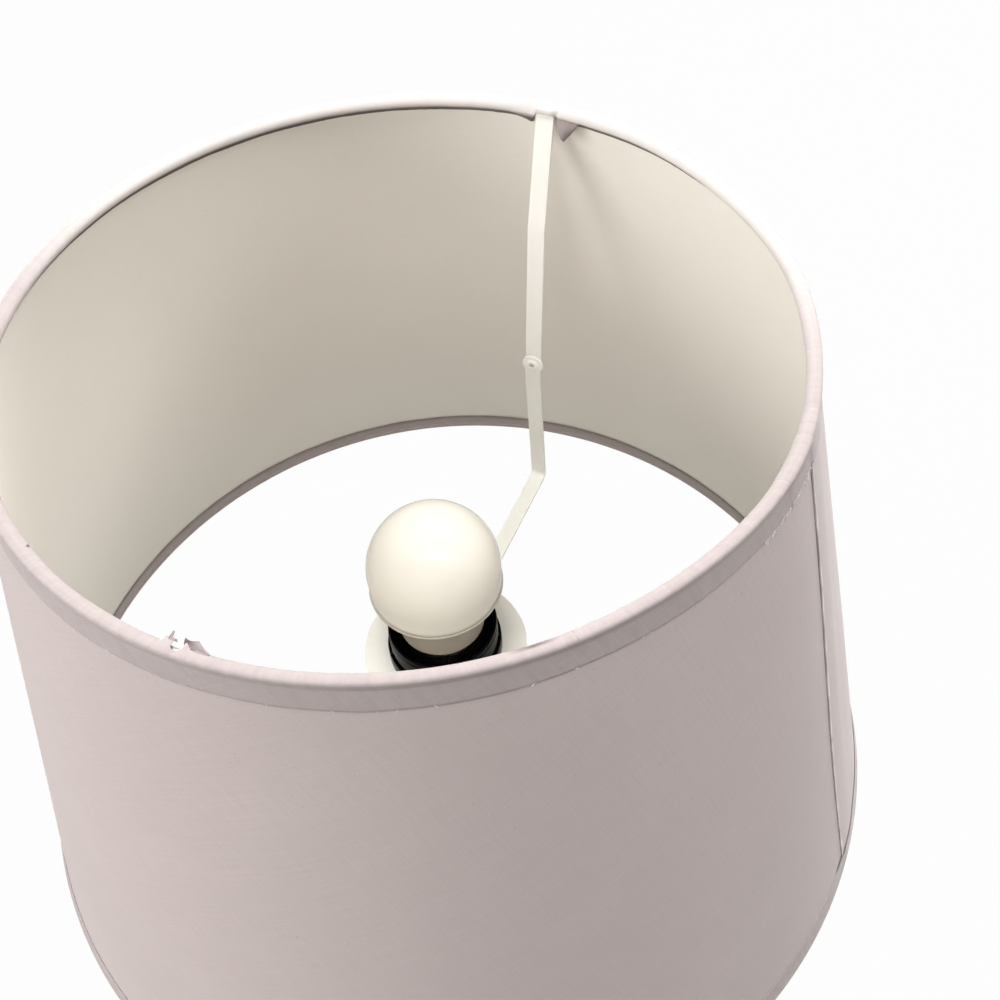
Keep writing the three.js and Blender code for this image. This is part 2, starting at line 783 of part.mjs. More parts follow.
hangerLeans.forEach((lean, i) => {
  const arm = new THREE.Group();
  arm.rotation.z = (carrierAzimuth + 180 * i) * degree;
  head.add(arm);
  addPiece(arm, `hanger_${i + 1}`, makeHanger(lean), 'whitePaint');
  addPiece(arm, `yoke_arm_${i + 1}`, makeYokeArm(), 'whitePaint');
  addPiece(arm, `pivot_rivet_${i + 1}`, makeRivet(), 'whitePaint');
});
addPiece(head, 'carrier_disc', makeCarrierDisc(), 'whitePaint');

addPiece(head, 'holder_shell', makeHolderShell(), 'blackGloss');
addPiece(head, 'collar_nut', makeCollarNut(), 'blackGloss');
addPiece(head, 'holder_cap', makeHolderCap(), 'blackGloss');
addPiece(head, 'contact_insulator', makeContactInsulator(), 'whitePlastic');
addPiece(head, 'centre_contact', makeCentreContact(), 'brass');
addPiece(head, 'side_contact', makeSideContact(), 'brass');
addPiece(head, 'terminal_screw_1', makeTerminalScrew(-1), 'brass');
addPiece(head, 'terminal_screw_2', makeTerminalScrew(1), 'brass');

addPiece(head, 'bulb_globe', makeBulbGlobe(), 'diffuser');
addPiece(head, 'bulb_housing', makeBulbHousing(), 'whitePlastic');
addPiece(head, 'led_board', makeLedBoard(), 'board');
addPiece(head, 'bulb_screw_cap', makeScrewCap(), 'nickel');
addPiece(head, 'bulb_cap_insulator', makeCapInsulator(), 'blackGloss');
addPiece(head, 'bulb_tip', makeBulbTip(), 'nickel');

addPiece(lamp, 'foot_cover', makeFootCover(), 'blackSatin');
addPiece(lamp, 'foot_weight', makeFootWeight(), 'castIron');
addPiece(lamp, 'felt_pad', makeFeltPad(), 'felt');
addPiece(lamp, 'stem_tube', makeStemTube(), 'blackSatin');
addPiece(lamp, 'seat_ring', makeSeatRing(), 'blackSatin');
addPiece(lamp, 'threaded_tube', makeThreadedTube(), 'nickel');
addPiece(lamp, 'foot_washer', makeFootWasher(), 'nickel');
addPiece(lamp, 'foot_nut', makeFootNut(), 'nickel');
addPiece(lamp, 'cord_gland', makeCordGland(), 'blackSatin');

export default lamp;
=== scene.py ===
import json
import random
from math import atan2, copysign, cos, exp, hypot, pi, sin
import bmesh
import bpy
import numpy as np
from mathutils import Matrix, Vector, noise

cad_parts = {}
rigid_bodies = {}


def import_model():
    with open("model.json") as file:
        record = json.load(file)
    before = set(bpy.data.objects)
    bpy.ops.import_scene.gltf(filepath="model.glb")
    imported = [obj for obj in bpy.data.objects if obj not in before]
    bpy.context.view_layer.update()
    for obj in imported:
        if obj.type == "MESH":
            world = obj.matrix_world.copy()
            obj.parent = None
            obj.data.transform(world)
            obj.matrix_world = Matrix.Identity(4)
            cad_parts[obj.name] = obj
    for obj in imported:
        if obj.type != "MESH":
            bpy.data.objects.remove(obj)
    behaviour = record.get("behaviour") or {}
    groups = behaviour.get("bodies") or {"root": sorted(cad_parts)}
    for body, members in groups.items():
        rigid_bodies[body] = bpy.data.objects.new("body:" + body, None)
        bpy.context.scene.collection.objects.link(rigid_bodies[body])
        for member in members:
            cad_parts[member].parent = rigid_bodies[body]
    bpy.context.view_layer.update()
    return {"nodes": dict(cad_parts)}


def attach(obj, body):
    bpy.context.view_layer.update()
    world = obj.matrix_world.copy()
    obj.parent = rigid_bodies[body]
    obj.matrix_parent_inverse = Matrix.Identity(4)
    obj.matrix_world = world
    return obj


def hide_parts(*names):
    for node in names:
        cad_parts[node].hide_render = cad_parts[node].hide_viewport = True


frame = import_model()
print("frame loaded")

mm = 0.001
degree = pi / 180
fullTurn = 2 * pi


# Shader maths: a socket that takes part in plain expressions

class Link:
    def __init__(self, tree, socket):
        self.tree = tree
        self.socket = socket

    def maths(self, operation, *values):
        node = self.tree.nodes.new("ShaderNodeMath")
        node.operation = operation
        for i, value in enumerate(values):
            feed(self.tree, node.inputs[i], value)
        return Link(self.tree, node.outputs[0])

    def __add__(self, other):
        return self.maths("ADD", self, other)

    def __sub__(self, other):
        return self.maths("SUBTRACT", self, other)

    def __rsub__(self, other):
        return self.maths("SUBTRACT", other, self)

    def __mul__(self, other):
        return self.maths("MULTIPLY", self, other)

    def __neg__(self):
        return self.maths("MULTIPLY", self, -1.0)

    __radd__ = __add__
    __rmul__ = __mul__

    def sine(self):
        return self.maths("SINE", self)

    def limited(self):
        return self.maths("MINIMUM", self.maths("MAXIMUM", self, 0.0), 1.0)

    def step(self, low, high):
        return ((self - low) * (1.0 / (high - low))).limited()


def feed(tree, socket, value):
    if isinstance(value, Link):
        tree.links.new(value.socket, socket)
    else:
        socket.default_value = value


def tone(red, green, blue):
    # display values from 0 to 255 as the linear colour of a socket
    def linear(v):
        v /= 255
        return v / 12.92 if v <= 0.04045 else ((v + 0.055) / 1.055) ** 2.4
    return (linear(red), linear(green), linear(blue), 1.0)


class Finish:
    def __init__(self, name, roughness, metallic=0.0, **fixed):
        self.material = bpy.data.materials.new(name)
        self.material.use_nodes = True
        self.tree = self.material.node_tree
        self.tree.nodes.clear()
        self.shader = self.tree.nodes.new("ShaderNodeBsdfPrincipled")
        output = self.tree.nodes.new("ShaderNodeOutputMaterial")
        self.tree.links.new(self.shader.outputs[0], output.inputs["Surface"])
        self.set("Roughness", roughness)
        self.set("Metallic", metallic)
        for socket, value in fixed.items():
            self.set(socket.replace("_", " "), value)

    def set(self, socket, value):
        feed(self.tree, self.shader.inputs[socket], value)

    def node(self, kind, settings=None, values=None, out=0):
        node = self.tree.nodes.new("ShaderNode" + kind)
        for key, value in (settings or {}).items():
            setattr(node, key, value)
        for key, value in (values or {}).items():
            feed(self.tree, node.inputs[key], value)
        return Link(self.tree, node.outputs[out])

    def place(self):
        return self.node("TexCoord", out="Object")

    def stretched(self, vector, x, y, z):
        return self.node("VectorMath", {"operation": "MULTIPLY"}, {0: vector, 1: (x, y, z)})

    def grain(self, vector, scale, detail=2.0, roughness=0.5):
        values = {"Vector": vector, "Scale": scale, "Detail": detail, "Roughness": roughness}
        return self.node("TexNoise", None, values)

    def mix(self, amount, first, second):
        return self.node("Mix", {"data_type": "RGBA"}, {0: amount, 6: first, 7: second}, out=2)

    def bump(self, height, depth, strength=1.0):
        # height runs from 0 to 1 and stands for depth millimetres
        values = {"Height": height, "Distance": depth * mm, "Strength": strength}
        self.set("Normal", self.node("Bump", None, values))


# Mesh making, all in millimetres

def reshape(mesh, change):
    bm = bmesh.new()
    bm.from_mesh(mesh)
    change(bm)
    bm.to_mesh(mesh)
    bm.free()


def gridFaces(wide, columns, rows):
    # quads between rows of points, each wide points long, and closed where columns is wide
    faces = []
    for j in range(rows):
        for i in range(columns):
            here, beside = j * wide + i, j * wide + (i + 1) % wide
            faces.append((here, beside, beside + wide, here + wide))
    return faces


def bodyOf(node):
    return frame["nodes"][node].parent.name.split(":")[1]


def addPiece(name, points, faces, finish, body, replaces, sharp):
    mesh = bpy.data.meshes.new(name)
    mesh.from_pydata([Vector(p) * mm for p in points], [], faces)
    reshape(mesh, lambda bm: bmesh.ops.recalc_face_normals(bm, faces=bm.faces))
    return dress(name, mesh, finish, body, replaces, sharp)


def dress(name, mesh, finish, body, replaces, sharp):
    mesh.shade_smooth()
    mesh.set_sharp_from_angle(angle=sharp * degree)
    mesh.materials.clear()
    mesh.materials.append(finish.material)
    piece = bpy.data.objects.new(name, mesh)
    bpy.context.scene.collection.objects.link(piece)
    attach(piece, body)
    if replaces:
        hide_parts(replaces)
    return piece


def bent(first, corner, last, steps):
    # a curve between two points that leans to a corner
    line = []
    for i in range(steps + 1):
        t = i / steps
        line.append(tuple(first * (1 - t) ** 2 + corner * (2 * t * (1 - t)) + last * t ** 2))
    return line


def softened(outline, radius, closed):
    # rounds each corner of an outline
    count = len(outline)
    result = []
    for i, here in enumerate(outline):
        if not closed and i in (0, count - 1):
            result.append(tuple(here))
            continue
        corner = Vector(here)
        inward, onward = Vector(outline[i - 1]) - corner, Vector(outline[(i + 1) % count]) - corner
        reach = min(radius, 0.45 * inward.length, 0.45 * onward.length)
        if reach < 1e-4 or inward.angle(onward) > 170 * degree:
            result.append(tuple(here))
            continue
        first, last = corner + inward.normalized() * reach, corner + onward.normalized() * reach
        result += bent(first, corner, last, 3)
    return result


def turnedFaces(outline, sides, height=0.0, thread=None):
    # points and faces of an outline of (radius, height) turned round the axis
    onAxis = outline[0][0] < 1e-6
    points, faces, rings = [], [], []
    for radius, z in outline:
        if radius < 1e-6:
            rings.append([len(points)])
            points.append((0, 0, z + height))
            continue
        start = len(points)
        rings.append(list(range(start, start + sides)))
        for k in range(sides):
            angle = fullTurn * k / sides
            r = radius + (thread(z, angle) if thread else 0)
            points.append((r * cos(angle), r * sin(angle), z + height))
    pairs = list(zip(rings, rings[1:]))
    if not onAxis:
        pairs.append((rings[-1], rings[0]))
    for low, high in pairs:
        for k in range(sides):
            n = (k + 1) % sides
            if len(low) == 1:
                faces.append((low[0], high[n], high[k]))
            elif len(high) == 1:
                faces.append((low[k], low[n], high[0]))
            else:
                faces.append((low[k], low[n], high[n], high[k]))
    return points, faces


def turned(name, outline, finish, body, replaces, height, sides, soften, thread=None, sharp=50):
    closed = outline[0][0] > 1e-6
    rounded = softened(outline, soften, closed) if soften else outline
    points, faces = turnedFaces(rounded, sides, height, thread)
    addPiece(name, points, faces, finish, body, replaces, sharp)


def arc(x, y, radius, start, end, steps):
    angles = [(start + (end - start) * i / steps) * degree for i in range(steps + 1)]
    return [(x + radius * cos(a), y + radius * sin(a)) for a in angles]


def bevelled(name, node, finish, width):
    # a CAD node's own shape with its hard edges broken
    def breakEdges(bm):
        bmesh.ops.remove_doubles(bm, verts=bm.verts, dist=2e-6)
        bmesh.ops.dissolve_limit(bm, angle_limit=1.5 * degree, verts=bm.verts, edges=bm.edges)
        hard = [e for e in bm.edges if len(e.link_faces) == 2 and e.calc_face_angle(0) > 40 * degree]
        bmesh.ops.bevel(bm, geom=hard, offset=width * mm, segments=3, profile=0.6,
                        affect="EDGES", clamp_overlap=True)
        bmesh.ops.recalc_face_normals(bm, faces=bm.faces)

    mesh = frame["nodes"][node].data.copy()
    mesh.name = name
    reshape(mesh, breakEdges)
    dress(name, mesh, finish, bodyOf(node), node, 25)


# Finishes

def clothFinish(name, colour, dark, patch, fuzz):
    # a fine plain weave that follows the flat cut, with slubs, specks and slow mottling
    finish = Finish(name, 0.9, Sheen_Weight=fuzz, Sheen_Roughness=0.4, Specular_IOR_Level=0.25)
    cut = finish.node("Attribute", {"attribute_name": "flatCut"}, out="Vector")
    split = finish.tree.nodes.new("ShaderNodeSeparateXYZ")
    finish.tree.links.new(cut.socket, split.inputs[0])
    across, along, mask = (Link(finish.tree, split.outputs[i]) for i in range(3))
    pitch = 0.3
    warp = (across * (pi / pitch)).sine()
    weft = (along * (pi / pitch)).sine()
    weave = warp * weft * 0.5 + 0.5
    warpThreads = finish.grain(finish.stretched(cut, 2.4, 0.05, 0.0), 1.0, 1.0)
    weftThreads = finish.grain(finish.stretched(cut, 0.05, 2.4, 0.0), 1.0, 1.0)
    threads = warpThreads * 0.5 + weftThreads * 0.5
    mottle = finish.grain(finish.place(), 26.0, 3.0)
    lint = finish.grain(cut, 0.9, 2.0, 0.6).step(0.70, 0.78)
    pits = finish.grain(finish.stretched(cut, 0.7, 1.1, 0.0), 1.3, 1.0).step(0.71, 0.80)
    patches = finish.grain(finish.stretched(cut, 0.16, 0.5, 0.0), 1.0, 3.0).step(0.42, 0.66)
    base = finish.mix((threads - 0.5) * 1.1 + 0.5, dark, colour)
    layers = [
        ((1.0 - weave) * 0.06, dark),
        (mottle.step(0.35, 0.65) * 0.22, dark),
        (patches * patch, dark),
        (pits * 0.35, tone(110, 100, 98)),
        (lint * 0.35, tone(235, 228, 226)),
        # the mask: below 0 darker, for painted shade in folds, creases and beside the seam, and dark specks
        # of cut threads; above 0 paler, for pale threads, and painted light on the hem's roll
        ((-mask).limited() * 0.75, tone(60, 50, 50)),
        (mask.limited() * 0.7, tone(240, 235, 231)),
    ]
    for amount, over in layers:
        base = finish.mix(amount, base, over)
    finish.set("Base Color", base)
    finish.set("Roughness", 0.84 + 0.1 * threads)
    finish.bump(weave * 0.25 + threads * 0.7 + lint * 0.3, 0.035)
    return finish


def linerFinish():
    # smooth bonded plastic sheet, a little uneven where it is glued
    finish = Finish("linerSheet", 0.55, Specular_IOR_Level=0.35)
    place = finish.place()
    clouds = finish.grain(place, 14.0, 3.0)
    fine = finish.grain(place, 900.0, 2.0)
    base = finish.mix(clouds.step(0.3, 0.7) * 0.5, tone(247, 242, 234), tone(241, 236, 226))
    finish.set("Base Color", finish.mix(fine.step(0.62, 0.75) * 0.12, base, tone(200, 192, 178)))
    finish.set("Roughness", 0.5 + 0.12 * clouds)
    finish.bump(fine * 0.4 + clouds, 0.05, 0.6)
    return finish


def paintFinish(name, colour, worn, roughness, grainSize, depth, specular=0.5):
    # sprayed paint with a fine orange peel and slightly duller patches
    finish = Finish(name, roughness, Specular_IOR_Level=specular)
    place = finish.place()
    peel = finish.grain(place, grainSize, 2.0)
    clouds = finish.grain(place, 60.0, 3.0)
    specks = finish.grain(place, 700.0, 1.0).step(0.72, 0.78)
    base = finish.mix(clouds.step(0.35, 0.7) * 0.4, colour, worn)
    finish.set("Base Color", finish.mix(specks * 0.3, base, worn))
    finish.set("Roughness", roughness - 0.04 + 0.1 * clouds)
    finish.bump(peel, depth)
    return finish


def metalFinish(name, colour, stain, roughness):
    # fine lines along the height, and a few stains
    finish = Finish(name, roughness, 1.0)
    place = finish.place()
    lines = finish.grain(finish.stretched(place, 900.0, 900.0, 60.0), 1.0, 2.0)
    clouds = finish.grain(place, 120.0, 3.0)
    finish.set("Base Color", finish.mix(clouds.step(0.4, 0.75) * 0.5, colour, stain))
    finish.set("Roughness", roughness - 0.06 + 0.16 * lines)
    finish.bump(lines, 0.012)
    return finish


def opalFinish():
    # glossy opal plastic, faintly clouded and wavy
    finish = Finish("opal", 0.12)
    place = finish.place()
    clouds = finish.grain(place, 35.0, 2.0)
    waves = finish.grain(place, 55.0, 1.0)
    base = finish.mix(clouds.step(0.35, 0.7) * 0.35, tone(233, 229, 219), tone(227, 223, 212))
    finish.set("Base Color", base)
    finish.set("Roughness", 0.1 + 0.08 * clouds)
    finish.bump(waves, 0.05, 0.5)
    return finish


def roughFinish(name, colour, dark, roughness, size, depth, metallic=0.0):
    # a coarse surface that is darker in its pits
    finish = Finish(name, roughness, metallic)
    place = finish.place()
    coarse = finish.grain(place, size, 4.0, 0.6)
    finish.set("Base Color", finish.mix(coarse.step(0.35, 0.65), dark, colour))
    finish.set("Roughness", roughness - 0.08 + 0.12 * coarse)
    finish.bump(coarse, depth)
    return finish


cloth = clothFinish("cloth", tone(208, 195, 193), tone(188, 175, 172), 0.1, 0.2)
hemCloth = clothFinish("hemCloth", tone(194, 183, 181), tone(170, 158, 156), 0.5, 0.3)
liner = linerFinish()
ringWire = metalFinish("ringWire", tone(205, 203, 198), tone(170, 168, 164), 0.4)
whitePaint = paintFinish("whitePaint", tone(249, 248, 242), tone(241, 239, 231), 0.34, 1400.0, 0.03)
blackGloss = paintFinish("blackGloss", tone(5, 7, 5), tone(8, 9, 8), 0.2, 500.0, 0.006, specular=0.04)
blackSatin = paintFinish("blackSatin", tone(27, 27, 28), tone(34, 33, 33), 0.42, 2200.0, 0.012)
blackPlastic = paintFinish("blackPlastic", tone(24, 24, 25), tone(31, 30, 30), 0.45, 1800.0, 0.02)
blackGlass = paintFinish("blackGlass", tone(14, 14, 16), tone(22, 22, 24), 0.12, 400.0, 0.004)
bakelite = paintFinish("bakelite", tone(30, 27, 25), tone(41, 36, 33), 0.35, 900.0, 0.01)
opal = opalFinish()
bulbPlastic = paintFinish("bulbPlastic", tone(184, 177, 164), tone(175, 168, 154), 0.3, 1100.0, 0.01)
board = paintFinish("board", tone(222, 222, 218), tone(205, 206, 203), 0.5, 900.0, 0.01)
nickel = metalFinish("nickel", tone(196, 193, 186), tone(160, 156, 148), 0.28)
brass = metalFinish("brass", tone(205, 176, 112), tone(168, 138, 84), 0.32)
castIron = roughFinish("castIron", tone(66, 65, 66), tone(44, 43, 44), 0.75, 900.0, 0.12, 0.6)
felt = roughFinish("felt", tone(44, 43, 43), tone(24, 24, 24), 0.97, 2600.0, 0.3)
threadFinish = roughFinish("thread", tone(236, 229, 226), tone(214, 205, 202), 0.9, 700.0, 0.05)
print("finishes made")


# Shade

shade = {
    "lift": 230.0,  # of the lower wire above the floor
    "top": 100.0,
    "bottom": 149.0,
    "height": 195.5,
    "wire": 1.0,
    "seam": -34.9,  # degrees to the upper layer's cut edge
    "lap": 9.0,
    "layer": 0.35,
    "hanger": 57.0,  # degrees to the first hanger
    "columns": 420,
    # where the upper wire is out of round: degrees, how far out, width in degrees
    "bulges": [(-41.0, 1.8, 18.0), (20.0, -0.9, 15.0)],
    # folds beside the first hanger: degrees, how far out, width, share of the wall down, reach
    "puckers": [(50.0, 0.9, 3.2, 0.20, 0.22), (56.0, -0.8, 4.0, 0.22, 0.25)],
}
lift = shade["lift"]
tilt = atan2(shade["bottom"] - shade["top"], shade["height"])
wallLength = hypot(shade["bottom"] - shade["top"], shade["height"])
middleRadius = (shade["bottom"] + shade["top"]) / 2
coneApex = shade["top"] / sin(tilt)  # from the flat cut's centre to its inner edge
linerInner, linerOuter, fabricInner, fabricOuter = -0.45, -0.10, 0.10, 0.45


def turnFrom(azimuth, place):
    # signed degrees from a place round the shade
    return (azimuth / degree - place + 180) % 360 - 180


def smoothStep(x):
    x = min(max(x, 0), 1)
    return x * x * (3 - 2 * x)


def bell(x):
    return exp(-x ** 2)


def uneven(x, y, z=0.0):
    return noise.noise(Vector((x, y, z)))


def ripple(azimuth, down):
    # the wall's slow unevenness between the wires, and the upper wire out of round
    along = min(max(down / wallLength, 0), 1)
    hold = sin(pi * along) ** 0.8
    x, y = cos(azimuth), sin(azimuth)
    slow = uneven(1.6 * x + 4.1, 1.6 * y, 1.4 * along)
    quick = uneven(5.0 * x, 5.0 * y + 2.7, 2.2 * along)
    out = hold * (0.55 * slow + 0.12 * quick)
    upper = 1 - smoothStep(along / 0.8)
    for place, rise, width in shade["bulges"]:
        out += upper * rise * bell(turnFrom(azimuth, place) / width)
    for place, rise, width, middle, reach in shade["puckers"]:
        out += rise * bell(turnFrom(azimuth, place) / width) * bell((along - middle) / reach) * hold
    return out


def wall(azimuth, down, out):
    # a point of the cone wall: down from the upper wire, and out from the wires' line
    out += ripple(azimuth, down)
    radius = shade["top"] + down * sin(tilt) + out * cos(tilt)
    height = shade["height"] - down * cos(tilt) + out * sin(tilt)
    return (radius * cos(azimuth), radius * sin(azimuth), height + lift)


def flatPlace(azimuth, down):
    # the same point on the flat cut
    reach, angle = coneApex + down, azimuth * sin(tilt)
    return reach * sin(angle), reach * cos(angle)


def keepCuts(piece, cuts):
    # for each point its place on the flat cut, and a mask: below 0 darker (painted shade, and dark thread
    # specks), above 0 paler (pale threads, and painted light)
    attribute = piece.data.attributes.new("flatCut", "FLOAT_VECTOR", "POINT")
    attribute.data.foreach_set("vector", np.array(cuts, dtype=np.float32).ravel())


def swept(name, azimuths, outlineAt, finish, replaces, maskAt=None, closed=True):
    # closed outlines of (down, out) joined round the shade
    points, cuts, rings = [], [], []
    for azimuth in azimuths:
        outline = outlineAt(azimuth)
        rings.append(range(len(points), len(points) + len(outline)))
        for down, out in outline:
            points.append(wall(azimuth, down, out))
            cuts.append((*flatPlace(azimuth, down), maskAt(azimuth, down, out) if maskAt else 0.0))
    faces = []
    pairs = list(zip(rings, rings[1:])) + ([(rings[-1], rings[0])] if closed else [])
    for a, b in pairs:
        for k in range(len(a)):
            n = (k + 1) % len(a)
            faces.append((a[k], b[k], b[n], a[n]))
    if not closed:
        for end in (rings[0], rings[-1]):
            faces += [(end[k], end[k + 1], end[-2 - k], end[-1 - k]) for k in range(len(end) // 2 - 1)]
    piece = addPiece(name, points, faces, finish, "shade", replaces, 60)
    keepCuts(piece, cuts)
    return piece


def evenAzimuths():
    return [fullTurn * i / shade["columns"] for i in range(shade["columns"])]


def wallRows(margin, rows):
    # places down the wall, from margin under the upper wire to margin over the lower one
    return [margin + (wallLength - 2 * margin) * i / rows for i in range(rows + 1)]


def seamLift(azimuth):
    # how far the cloth's upper layer stands over its other end
    past = turnFrom(azimuth, shade["seam"])
    if past < -0.02:
        return 0.0
    lap = shade["lap"] / middleRadius / degree
    return (shade["layer"] + 0.05) * (1 - smoothStep((past - lap) / 4.0))


fabric = {
    "margin": 1.4,  # from each wire to the panel's edge
    "rows": 48,
    "lapColumns": 12,
    "afterCut": [0.0, 0.00012, 0.0004, 0.001, 0.002, 0.004],  # radians from the cut edge
    "beforeCut": [0.007, 0.005, 0.003, 0.002, 0.0012, 0.0006],
    "frayed": 0.0045,  # radians of pale threads on the cut edge
    # width of the painted shadow beside the seam's cut edge
    "crevice": 0.4,
    "curl": 0.12,
    "curlWidth": 0.7,
}


def makeFabric():
    start = shade["seam"] * degree
    end = start + fullTurn
    lap = shade["lap"] / middleRadius
    columns, lapColumns = shade["columns"], fabric["lapColumns"]
    before = [end - d for d in fabric["beforeCut"]]
    rest = [start + lap + (fullTurn - lap) * i / columns for i in range(1, columns)]
    azimuths = [start + d for d in fabric["afterCut"]]
    azimuths += [start + lap * i / lapColumns for i in range(2, lapColumns + 1)]
    azimuths += [a for a in rest if a < before[0]] + before
    azimuths += [end + lap * i / lapColumns for i in range(lapColumns + 1)]
    downs = wallRows(fabric["margin"], fabric["rows"])

    def outlineAt(azimuth):
        rise, curl = 0.0, 0.0
        if azimuth < start + 1.0:
            rise = seamLift(azimuth)
            curl = fabric["curl"] * bell((azimuth - start) * middleRadius / fabric["curlWidth"])
        edges = [(d, rise + curl * (0.6 + 0.8 * uneven(d * 0.09, 3.0))) for d in downs]
        return [(d, fabricOuter + e) for d, e in edges] + [(d, fabricInner + e) for d, e in reversed(edges)]

    def maskAt(azimuth, down, out):
        # pale broken threads on the cut edge, and painted shadow in the crevice beside it that gets fainter
        # downwards
        if azimuth < start + fabric["frayed"]:
            return min(max(0.0, 0.35 + 3.0 * uneven(down * 0.45, 0.0)), 1.4)
        near = 1 - abs(end - azimuth) * middleRadius / fabric["crevice"]
        if near > 0:
            faint = 1 - 0.75 * smoothStep((down - 50) / 60)
            return -1.1 * faint * near * (0.7 + 0.6 * uneven(down * 0.06, 5.0))
        return 0.0

    return swept("shade_cloth", azimuths, outlineAt, cloth, "shade_fabric", maskAt, False)


def makeLiner():
    margin, rows = 1.3, 30
    downs = wallRows(margin, rows)
    outline = [(d, linerOuter) for d in downs] + [(d, linerInner) for d in reversed(downs)]
    swept("shade_lining", evenAzimuths(), lambda azimuth: outline, liner, "shade_liner")


def resampled(line, count):
    # a polyline cut into even steps
    points = np.array(line)
    lengths = np.concatenate([[0], np.cumsum(np.linalg.norm(np.diff(points, axis=0), axis=1))])
    places = np.linspace(0, lengths[-1], count)
    return np.stack([np.interp(places, lengths, points[:, k]) for k in (0, 1)], 1)


def leaf(line, thickness, count, kept=1.0):
    # the closed outline of a strip of cloth along a line, with soft edges, cut off after the kept share
    middle = resampled(line, count)
    slope = np.gradient(middle, axis=0)
    slope /= np.linalg.norm(slope, axis=1)[:, None]
    last = max(2, int(round(kept * (count - 1))))
    middle[last:], slope[last:] = middle[last], slope[last]
    normal = np.stack([-slope[:, 1], slope[:, 0]], 1)
    half = np.full(count, thickness / 2)
    half[0] = half[-1] = thickness / 5
    half[1] = half[-2] = thickness / 2.4
    one, other = middle + normal * half[:, None], middle - normal * half[:, None]
    return [tuple(p) for p in one] + [tuple(p) for p in other[::-1]]


hem = {
    "thickness": 0.32,
    # out from and above the wire, from the outer corner over the top to under the inner roll
    "roll": [
        (1.10, 0.95), (0.98, 1.26), (0.68, 1.45), (0.15, 1.50), (-0.35, 1.37), (-0.9, 1.12), (-1.4, 0.83),
        (-1.85, 0.42), (-2.12, -0.08), (-2.15, -0.62), (-1.92, -1.15), (-1.5, -1.55), (-0.98, -1.85),
    ],
    "topLeg": 6.9,  # down the outside from the wire
    "topInner": 3.4,  # down the inside
    "bottomLeg": 6.6,
    "bottomInner": 7.2,
    "sagPlace": 2.1,  # degrees past the first hanger
    "sagWide": 2.6,
    "notchPlace": 239.1,  # at the second hanger, in degrees
    "notchHalf": 0.72,
    "stripSide": 0.45,  # degrees from the second hanger's middle to the notch's
    "overHalf": 1.35,  # of the flat stretch over a hanger's end
    "overFade": 1.3,
    "dent": -80.5,
    "dentHalf": 3.0,
    "tear": -147.0,
    "tearHalf": 0.6,
    "lapPlace": -38.6,
    "lapHalf": 4.1,
    # degrees to the middle of the painted light on the roll
    "paintedLitSide": 70.0,
}


def edgeNoise(azimuth, seed, speed=1.0):
    x, y = cos(azimuth) * speed, sin(azimuth) * speed
    return 0.6 * uneven(9 * x, 9 * y, seed) + 0.4 * uneven(60 * x, 60 * y, seed + 3)


def outerLeg(leg, rise):
    # from the hem's outer edge along the cloth to the wire
    rest = fabricOuter + hem["thickness"] / 2 + 0.03 + rise
    line = [(leg, rest - 0.07), (leg - 0.5, rest)]
    return line + [(leg - 0.5 + (1.4 - leg) * i / 6, rest + 0.02 * i) for i in range(1, 7)]


def hemLine(azimuth, leg, inner, rise, sag=0.0):
    # up the outer leg, over the wire with a nearly flat top, round a full inner roll and back to the lining
    line = outerLeg(leg, rise)
    bulge = 0.12 * edgeNoise(azimuth, 21.0, 1.4)
    for x, y in hem["roll"]:
        y -= sag * (1 - y / 1.5) if y < 1.2 else 0
        x -= bulge if x < 0 else 0
        line.append((x * sin(tilt) - y * cos(tilt), x * cos(tilt) + y * sin(tilt)))
    last = line[-1][0]
    reach = max(inner, last + 0.4)
    return line + [(last + (reach - last) * i / 2, -0.78 - 0.5 * sag) for i in (1, 2)]


overWire = 12  # the point of a hem line from which it differs at a hanger


def cappedTail():
    # the roll's last stretch where it lies over a hanger's end and stops short inside it
    first = hemLine(0.0, hem["topLeg"], hem["topInner"], 0.0)[overWire]
    line = [first, (-1.72, -1.0), (-1.85, -1.7), (-1.75, -2.4)]
    return line + [(-1.4, -2.75), (-0.95, -2.82), (-0.45, -2.84)]


def lapShare(azimuth):
    # the hem strip's own two ends lie over each other beside the seam
    place = turnFrom(azimuth, hem["lapPlace"])
    return smoothStep((place + hem["lapHalf"]) / 0.3) * smoothStep((hem["lapHalf"] - place) / 0.3)


def topHemAzimuths():
    # even columns, and more of them where the hem changes over a short way
    steps = (-0.9, -0.6, -0.45, -0.3, -0.15, 0.0, 0.15, 0.3, 0.45, 0.6, 0.9)
    extra = [hem["tear"] + step for step in steps]
    edges = [
        (shade["hanger"], hem["sagPlace"]),
        (hem["notchPlace"], hem["sagPlace"]),
        (hem["notchPlace"], hem["notchHalf"]),
    ]
    for side in (-1, 1):
        for place, half in edges:
            steps = (-0.7, -0.3, -0.1, -0.03, 0.03, 0.35, 0.7, 1.05)
            extra += [place + side * (half + step) for step in steps]
        steps = (-0.02, 0.0, 0.05, 0.1, 0.15, 0.2)
        extra += [hem["lapPlace"] + side * (hem["lapHalf"] - step) for step in steps]
    return sorted(evenAzimuths() + [place * degree % fullTurn for place in extra])


